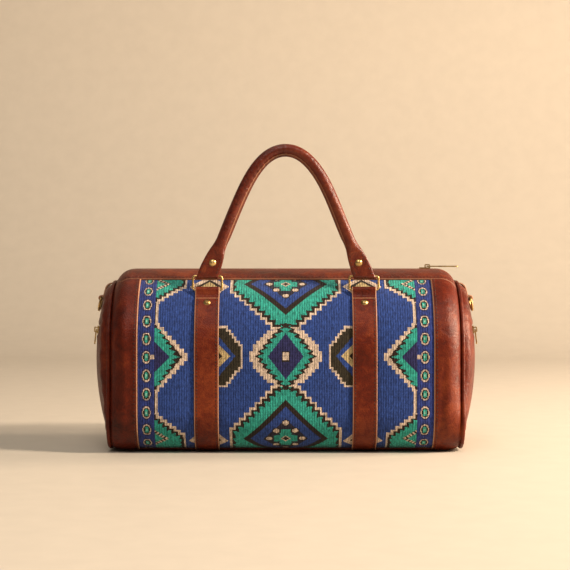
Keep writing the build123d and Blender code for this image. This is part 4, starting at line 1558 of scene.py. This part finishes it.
    def stitching(self, path: Array, way: Array, wide: Array, deep: Array, far: Array, half_wide: Array,
                  half_deep: Array) -> Object:
        """Rows of stitches along the edges of the flat tabs, front and back, and along the fin.

        Args:
            path: The middle line.
            way: Its direction.
            wide: The direction across the handle.
            deep: The direction through it.
            far: How far each point is from the nearer bar.
            half_wide: Half the handle's width.
            half_deep: Half its depth.

        Returns:
            The stitches.
        """
        tab = (far > self.stitch_from) & (far < self.tab_length + self.fin_lead)
        at = np.flatnonzero(tab)[::self.stitch_step]
        rows = []
        for face in (-1, 1):
            for edge in (-1, 1):
                out = wide * (edge * (half_wide - self.stitch_inset))[:, None]
                places = (path + out + deep * (face * half_deep)[:, None])[at]
                rows.append((places, way[at], face * deep[at]))
        at = np.flatnonzero(far > self.tab_length + self.flare)[::self.stitch_step]
        below, apart = self.fin_stitch
        for face in (-1, 1):
            places = (path - wide * (self.radius + below) + deep * face * apart)[at]
            rows.append((places, way[at], face * deep[at]))
        places, ways, ups = (np.concatenate(part) for part in zip(*rows))
        start = self.place(places)
        obj = stitch_rows(self.name + "_stitches", start, self.place(places + ways) - start,
                          self.place(places + ups) - start, self.finish.thread, length=2.4, width=0.6)
        return fasten(obj, self.name)


@dataclass
class Ends:
    """The padded end panels, their piping and the tabs that hold the D-rings."""

    form: BagForm
    finish: Finishes
    inset: float = 20.7
    bulge: float = 27.0
    dome_radius: float = 330.45
    edge: float = 8.0
    tuck: float = 4.0
    outline_points: int = 900
    width_points: int = 600
    rim_rows: tuple[float, ...] = (0.0, 0.12, 0.4, 0.9, 1.6, 2.6, 4.0, 6.0, 8.0)
    rim_shares: tuple[float, ...] = (0.0, 0.0012, 0.004, 0.01, 0.018, 0.03, 0.045, 0.065, 0.09)
    rim_end: float = 11.0
    rim_share_end: float = 0.12
    slot_rows: tuple[float, ...] = (0.0, 0.25, 0.7, 1.4, 2.4)
    slot_rows_end: float = 5.0
    slot_rows_width: float = 95.0
    slot_shares: Pair = (0.05, 0.02)
    rows_below: int = 40
    rows_above: int = 16
    columns_out: int = 6
    columns_in: int = 22
    corner_sag: float = 17.0
    corner_fill: float = 0.6
    gather: float = 0.5
    gathers: float = 31.0
    gather_sway: float = 5.0
    gather_at: float = 9.0
    gather_width: float = 7.0
    gather_clear: Pair = (3.0, 12.0)
    lip: float = 1.9
    lip_width: float = 1.4
    welt: float = 0.7
    welt_at: float = 5.0
    welt_width: float = 3.0
    welt_clear: Pair = (8.0, 16.0)
    slot_z: float = 155.0
    slot_half: float = 65.2
    slot_height: float = 11.0
    slot_lap: float = 0.6
    piping: float = 5.0
    piping_gap: float = 0.2
    piping_points: int = 420
    piping_sides: int = 14
    piping_uneven: float = 0.12
    piping_waves: Pair = (0.9, 0.13)
    tab_width: float = 19.0
    tab: float = 2.0
    tab_angle: float = 13.5
    tab_lift: float = 0.3
    tab_short: float = 0.012
    tab_curl: Pair = (-0.92, 0.72)
    tab_rows: tuple[int, int, int] = (12, 10, 20)
    ring_bore: float = 1.8
    ring_lift: float = 0.2

    @property
    def dome_x(self) -> float:
        """The middle of the ball that the panel is part of."""
        return self.form.length / 2 + self.bulge - self.dome_radius

    def outline(self, inset: float, count: int) -> Array:
        """The end's outline drawn in by inset, as places (y, z) once round."""
        girth = self.form.half_girth
        return self.drawn(inset, np.linspace(-girth, girth, count, endpoint=False))

    def drawn(self, inset: float, s: Array) -> Array:
        """The end's outline, drawn in by inset, though less so near the base.

        Args:
            inset: How far it is drawn in.
            s: Ways up, negative on the back.

        Returns:
            Places (y, z) in the last axis.
        """
        out, up, normal_out, normal_up = self.form.section(np.abs(s))
        inward = inset - self.form.seam_inset * (1 - self.form.drawn_in(np.abs(s)))
        return np.stack([-np.sign(s) * (out - inward * normal_out), up - inward * normal_up], axis=-1)

    def half_width(self, z: Array) -> Array:
        """Half the end panel's width at a height, read from its outline.

        Args:
            z: The height.

        Returns:
            The half width there.
        """
        top = self.form.half_girth - self.form.top_flat / 2
        line = self.drawn(self.inset, np.linspace(self.form.base_flat, top, self.width_points))
        return np.interp(z, line[:, 1], -line[:, 0])

    def lattice(self) -> tuple[Array, Array]:
        """The panel's grid: across at each height, crowded at the edges and round the pocket's slot.

        Returns:
            Places y and z, rows by columns.
        """
        low = float(self.drawn(self.inset, np.array(0.0))[1])
        high = self.form.height - self.inset
        slot_low, slot_high = self.slot_z + self.slot_height / 2 * np.array([-1.0, 1.0])
        near = np.array(self.slot_rows)
        rim = np.array(self.rim_rows)
        z = np.concatenate([low + rim,
                            np.linspace(low + self.rim_end, slot_low - self.slot_rows_end, self.rows_below),
                            slot_low - near, slot_high + near,
                            np.linspace(slot_high + self.slot_rows_end, high - self.rim_end, self.rows_above),
                            high - rim])
        z = np.sort(z)[:, None]
        slot_share = self.slot_half / float(self.half_width(np.array(self.slot_z)))
        beyond, before = self.slot_shares
        share = np.concatenate([1 - np.array(self.rim_shares),
                                np.linspace(1 - self.rim_share_end, slot_share + beyond, self.columns_out),
                                slot_share + near / self.slot_rows_width,
                                np.linspace(slot_share - before, 0, self.columns_in)])
        share = np.unique(np.concatenate([share, -share]))[None, :]
        y = share * self.half_width(z)
        return y, z + np.zeros_like(y)

    def relief(self, y: Array, z: Array) -> Array:
        """How far out the panel stands: a shallow ball, rounded off at the edge, filled out in the lower
        corners, gathered by the seam, and turned in round the pocket's slot inside a low welt.

        Args:
            y: Places across.
            z: Heights.

        Returns:
            The way out along the bag.
        """
        rim_line = self.outline(self.inset, self.outline_points)
        apart = np.stack([y, z], axis=-1)[:, :, None] - rim_line[None, None]
        gap = np.sqrt((apart ** 2).sum(axis=-1)).min(axis=-1)
        rounded = np.clip(self.edge - gap, 0, self.edge)
        drop = self.edge - np.sqrt(self.edge ** 2 - rounded ** 2)
        up = z - self.form.height / 2
        sag = self.dome_radius - np.sqrt(self.dome_radius ** 2 - y ** 2 - up ** 2)
        fill = self.corner_fill * np.clip(sag - self.corner_sag, 0, None)
        ball = self.dome_x + self.dome_radius - sag + fill
        turn = np.arctan2(up, y)
        folds = np.sin(turn * self.gathers + 2 * np.sin(turn * self.gather_sway))
        gather = self.gather * folds * bump_at(gap - self.gather_at, self.gather_width)
        away = np.maximum(np.abs(y) - self.slot_half, np.abs(z - self.slot_z) - self.slot_height / 2)
        lip = -self.lip * np.clip(1 - np.clip(away, 0, None) / self.lip_width, 0, 1) ** 2
        welt = self.welt * bump_at(away - self.welt_at, self.welt_width)
        return (ball - drop + lip + welt * smooth(gap, *self.welt_clear)
                + gather * smooth(away, *self.gather_clear))

    def panel(self, end: End) -> Object:
        """A padded end: its relief over its lattice, open at the pocket's slot, with a skirt that turns back
        from the rim into the seam.

        Args:
            end: Which end of the bag.

        Returns:
            The panel.
        """
        way = end.value
        y, z = self.lattice()
        grid = np.stack([way * self.relief(y, z), y, z], axis=-1).reshape(-1, 3)
        rows, columns = y.shape
        middle_y = (y[:-1, :-1] + y[1:, 1:]) / 2
        middle_z = (z[:-1, :-1] + z[1:, 1:]) / 2
        slot = ((np.abs(middle_z - self.slot_z) < self.slot_height / 2)
                & (np.abs(middle_y) < self.slot_half - self.slot_lap))
        faces = facing(grid, np.tile([way, 0.0, 0.0], (len(grid), 1)), grid_faces(rows, columns))
        faces = faces[~slot.ravel()]
        index = np.arange(len(grid)).reshape(rows, columns)
        around = np.concatenate([index[0, :-1], index[:-1, -1], index[-1, :0:-1], index[:0:-1, 0]])
        skirt = grid[around].copy()
        skirt[:, 0] = way * (self.form.length / 2 - self.tuck)
        below = len(grid) + np.arange(len(around))
        ring = np.stack([around, np.roll(around, -1), np.roll(below, -1), below], axis=-1)
        points = np.vstack([grid, skirt])
        radial = points - np.array([0.0, 0.0, self.form.height / 2])
        radial[:, 0] = 0
        faces = np.vstack([faces, facing(points, radial, ring)]).tolist()
        obj = piece(end.word + "_end_leather", points, faces, self.finish.leather)
        fasten(obj, "bag", end.word + "_end_panel")
        return obj

    def piped_seam(self, end: End) -> Object:
        """The piping: a round tube carried once round the end's outline, a little uneven.

        Args:
            end: Which end of the bag.

        Returns:
            The piping.
        """
        line = self.outline(self.form.seam_inset, self.piping_points)
        step = unit(np.roll(line, -1, axis=0) - np.roll(line, 1, axis=0))
        out = np.stack([step[:, 1], -step[:, 0]], axis=-1)
        theta = np.arange(self.piping_sides) * TURN / self.piping_sides
        run = np.arange(self.piping_points)
        short, long = self.piping_waves
        radius = (self.piping / 2 + self.piping_uneven * np.sin(run * short) * np.sin(run * long))[:, None]
        x = self.form.length / 2 + self.piping / 2 - self.piping_gap
        rings = np.empty((self.piping_points, self.piping_sides, 3))
        rings[..., 0] = end.value * (x + radius * np.sin(theta))
        rings[..., 1:] = line[:, None] + out[:, None] * (radius * np.cos(theta))[..., None]
        obj = closed_tube(end.word + "_piped_seam", rings, self.finish.leather, loop=True)
        return fasten(obj, "bag", end.word + "_piping")

    def ring_tab(self, end: End) -> Object:
        """The D-ring's tab: a strip over the panel's edge, down the ball, round the ring's bar and back.

        Args:
            end: Which end of the bag.

        Returns:
            The tab.
        """
        middle_z = self.form.height / 2
        edge_z = self.form.height - self.inset - self.edge
        edge_x = self.dome_x + math.sqrt((self.dome_radius - self.edge) ** 2 - (edge_z - middle_z) ** 2)
        edge_angle = math.atan2(edge_z - middle_z, edge_x - self.dome_x)
        low = math.radians(self.tab_angle)
        over_rows, down_rows, curl_rows = self.tab_rows
        over = np.linspace(QUARTER, edge_angle, over_rows)
        down = np.linspace(edge_angle, low + self.tab_short, down_rows)[1:]
        bend = self.edge + self.tab_lift + self.tab / 2
        skin = self.dome_radius + self.tab_lift + self.tab / 2
        bar = self.dome_radius + self.ring_lift + self.ring_bore + self.tab
        out = np.array([math.cos(low), math.sin(low)])
        rise = np.array([-math.sin(low), math.cos(low)])
        eye = np.array([self.dome_x, middle_z]) + bar * out
        start, stop = self.tab_curl
        turn = np.linspace(math.pi * start, math.pi * stop, curl_rows)[:, None]
        curl = eye + (self.ring_bore + self.tab / 2) * (np.cos(turn) * out + np.sin(turn + math.pi) * rise)
        edge = np.stack([edge_x + bend * np.cos(over), edge_z + bend * np.sin(over)], axis=-1)
        dome = np.stack([self.dome_x + skin * np.cos(down), middle_z + skin * np.sin(down)], axis=-1)
        line = np.concatenate([edge, dome, curl])
        step = unit(np.gradient(line, axis=0))
        face = np.stack([-step[:, 1], step[:, 0]], axis=-1)
        across, through, cut = Straps(self.form, self.finish).outline()
        flat = line[:, None] + face[:, None] * (through * self.tab / 2)[None, :, None]
        y = np.broadcast_to(across * self.tab_width / 2, flat.shape[:2])
        rings = np.stack([end.value * flat[..., 0], y, flat[..., 1]], axis=-1)
        tags = {"edge": np.broadcast_to(cut, rings.shape[:2])}
        obj = closed_tube(end.word + "_tab_leather", rings, self.finish.leather, tags=tags)
        return fasten(obj, "bag", end.word + "_ring_tab")

    def build(self) -> list[Object]:
        """Makes both ends.

        Returns:
            Each end's panel, piping and tab.
        """
        return [make(end) for end in End for make in (self.panel, self.piped_seam, self.ring_tab)]


@dataclass
class Fittings:
    """The frame's own pieces that keep their shape: brass, zip tapes, lining and board."""

    finish: Finishes

    def dress(self) -> None:
        """Gives each kept node its finish, by the words in its name."""
        words = ((self.finish.brass, ("ring", "rivets", "teeth", "slider", "pull", "stops", "coil")),
                 (self.finish.tape, ("tape",)), (self.finish.lining, ("lining", "pocket_bag")),
                 (self.finish.board, ("base_board",)))
        for name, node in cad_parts.items():
            for finish, endings in words:
                if name.endswith(endings):
                    node.data.materials.clear()
                    node.data.materials.append(finish)


@dataclass(frozen=True)
class Lamp:
    """A square soft lamp that looks at the bag: its place and side in metres, its power in watts."""

    name: str
    place: tuple[float, float, float]
    size: float
    power: float
    colour: str
    aim_height: float = 0.14

    def hang(self) -> None:
        """Hangs the lamp: tipped by the angle from straight down to the bag, and turned about the upright."""
        data = bpy.data.lights.new(self.name, "AREA")
        data.size = self.size
        data.energy = self.power
        data.color = linear(self.colour)[:3]
        obj = bpy.data.objects.new(self.name, data)
        obj.location = self.place
        aim = np.array([0.0, 0.0, self.aim_height]) - np.array(self.place)
        yaw = math.atan2(-aim[0], aim[1])
        obj.rotation_euler = (math.acos(-aim[2] / np.linalg.norm(aim)), 0.0, yaw)
        bpy.context.scene.collection.objects.link(obj)


@dataclass
class Studio:
    """A pale floor that curves up into a wall, soft lamps and the camera."""

    camera_place: tuple[float, float, float] = (-0.9, -2120.0, 252.0)
    pitch: float = 1.08
    lens: float = 100.5
    sensor: float = 36.0
    sight: float = 50.0
    floor_half: float = 4000.0
    floor_columns: int = 5
    floor_front: float = -5000.0
    wall_y: float = 2600.0
    wall_top: float = 4200.0
    cove: float = 900.0
    cove_lines: int = 24
    air: str = "#efe7da"
    air_strength: float = 0.24
    lamps: tuple[Lamp, ...] = (Lamp("key_lamp", (2.35, -1.0, 1.75), 0.45, 150.0, "#ffe9cf"),
                               Lamp("front_lamp", (-0.3, -1.9, 2.6), 1.5, 34.0, "#fff6ec"),
                               Lamp("side_lamp", (2.6, 0.3, 0.7), 0.6, 125.0, "#ffe2c4"),
                               Lamp("wall_lamp", (-0.6, 0.6, 2.6), 1.4, 8.0, "#fff3e2"))

    def backdrop(self) -> None:
        """Sweeps the floor, a quarter-round cove and the wall across the room."""
        turn = np.linspace(0, QUARTER, self.cove_lines)
        curve = self.wall_y - self.cove + self.cove * np.sin(turn)
        y = np.concatenate([[self.floor_front], curve, [self.wall_y]])
        z = np.concatenate([[0.0], self.cove * (1 - np.cos(turn)), [self.wall_top]])
        x = np.linspace(-self.floor_half, self.floor_half, self.floor_columns)[:, None]
        points = np.stack(np.broadcast_arrays(x, y[None, :], z[None, :]), axis=-1)
        up = np.tile([0.0, -0.5, 1.0], points.shape[:2] + (1,))
        floor = open_grid("studio_floor", points, up, Plaster().material())

    def build(self) -> None:
        """Sets up floor, lamps, world and camera."""
        scene = bpy.context.scene
        scene.view_settings.view_transform = "Standard"
        self.backdrop()
        for lamp in self.lamps:
            lamp.hang()
        world = bpy.data.worlds.new("studio_air")
        world.use_nodes = True
        background = world.node_tree.nodes["Background"].inputs
        background["Color"].default_value = linear(self.air)
        background["Strength"].default_value = self.air_strength
        scene.world = world
        data = bpy.data.cameras.new("photo_camera")
        data.lens = self.lens
        data.sensor_width = self.sensor
        data.clip_end = self.sight
        camera = bpy.data.objects.new("photo_camera", data)
        camera.location = tuple(value * MM for value in self.camera_place)
        camera.rotation_euler = (math.radians(90 - self.pitch), 0.0, 0.0)
        scene.collection.objects.link(camera)
        scene.camera = camera


def main() -> None:
    """Builds the sub-assemblies in order."""
    logging.basicConfig(level=logging.INFO, format="%(message)s")
    form = BagForm()
    finish = Finishes()
    kilim = KilimPanels(form, finish)
    made = [kilim.build(side) for side in Side]
    made += LeatherTrim(form, finish).build()
    straps = Straps(form, finish)
    for side in Side:
        for end in End:
            made += straps.build(side, end)
    made += Handle(form, finish, Side.FRONT, ring_fold=0.0, tab_fold=0.0, bend=0.0).build()
    made += Handle(form, finish, Side.BACK, ring_fold=116.0, tab_fold=24.0, bend=35.0).build()
    made += Ends(form, finish).build()
    Fittings(finish).dress()
    Studio().build()
    for obj in made:
        LOG.info("%s: %d faces", obj.name, len(obj.data.polygons))


if __name__ == "__main__":
    main()
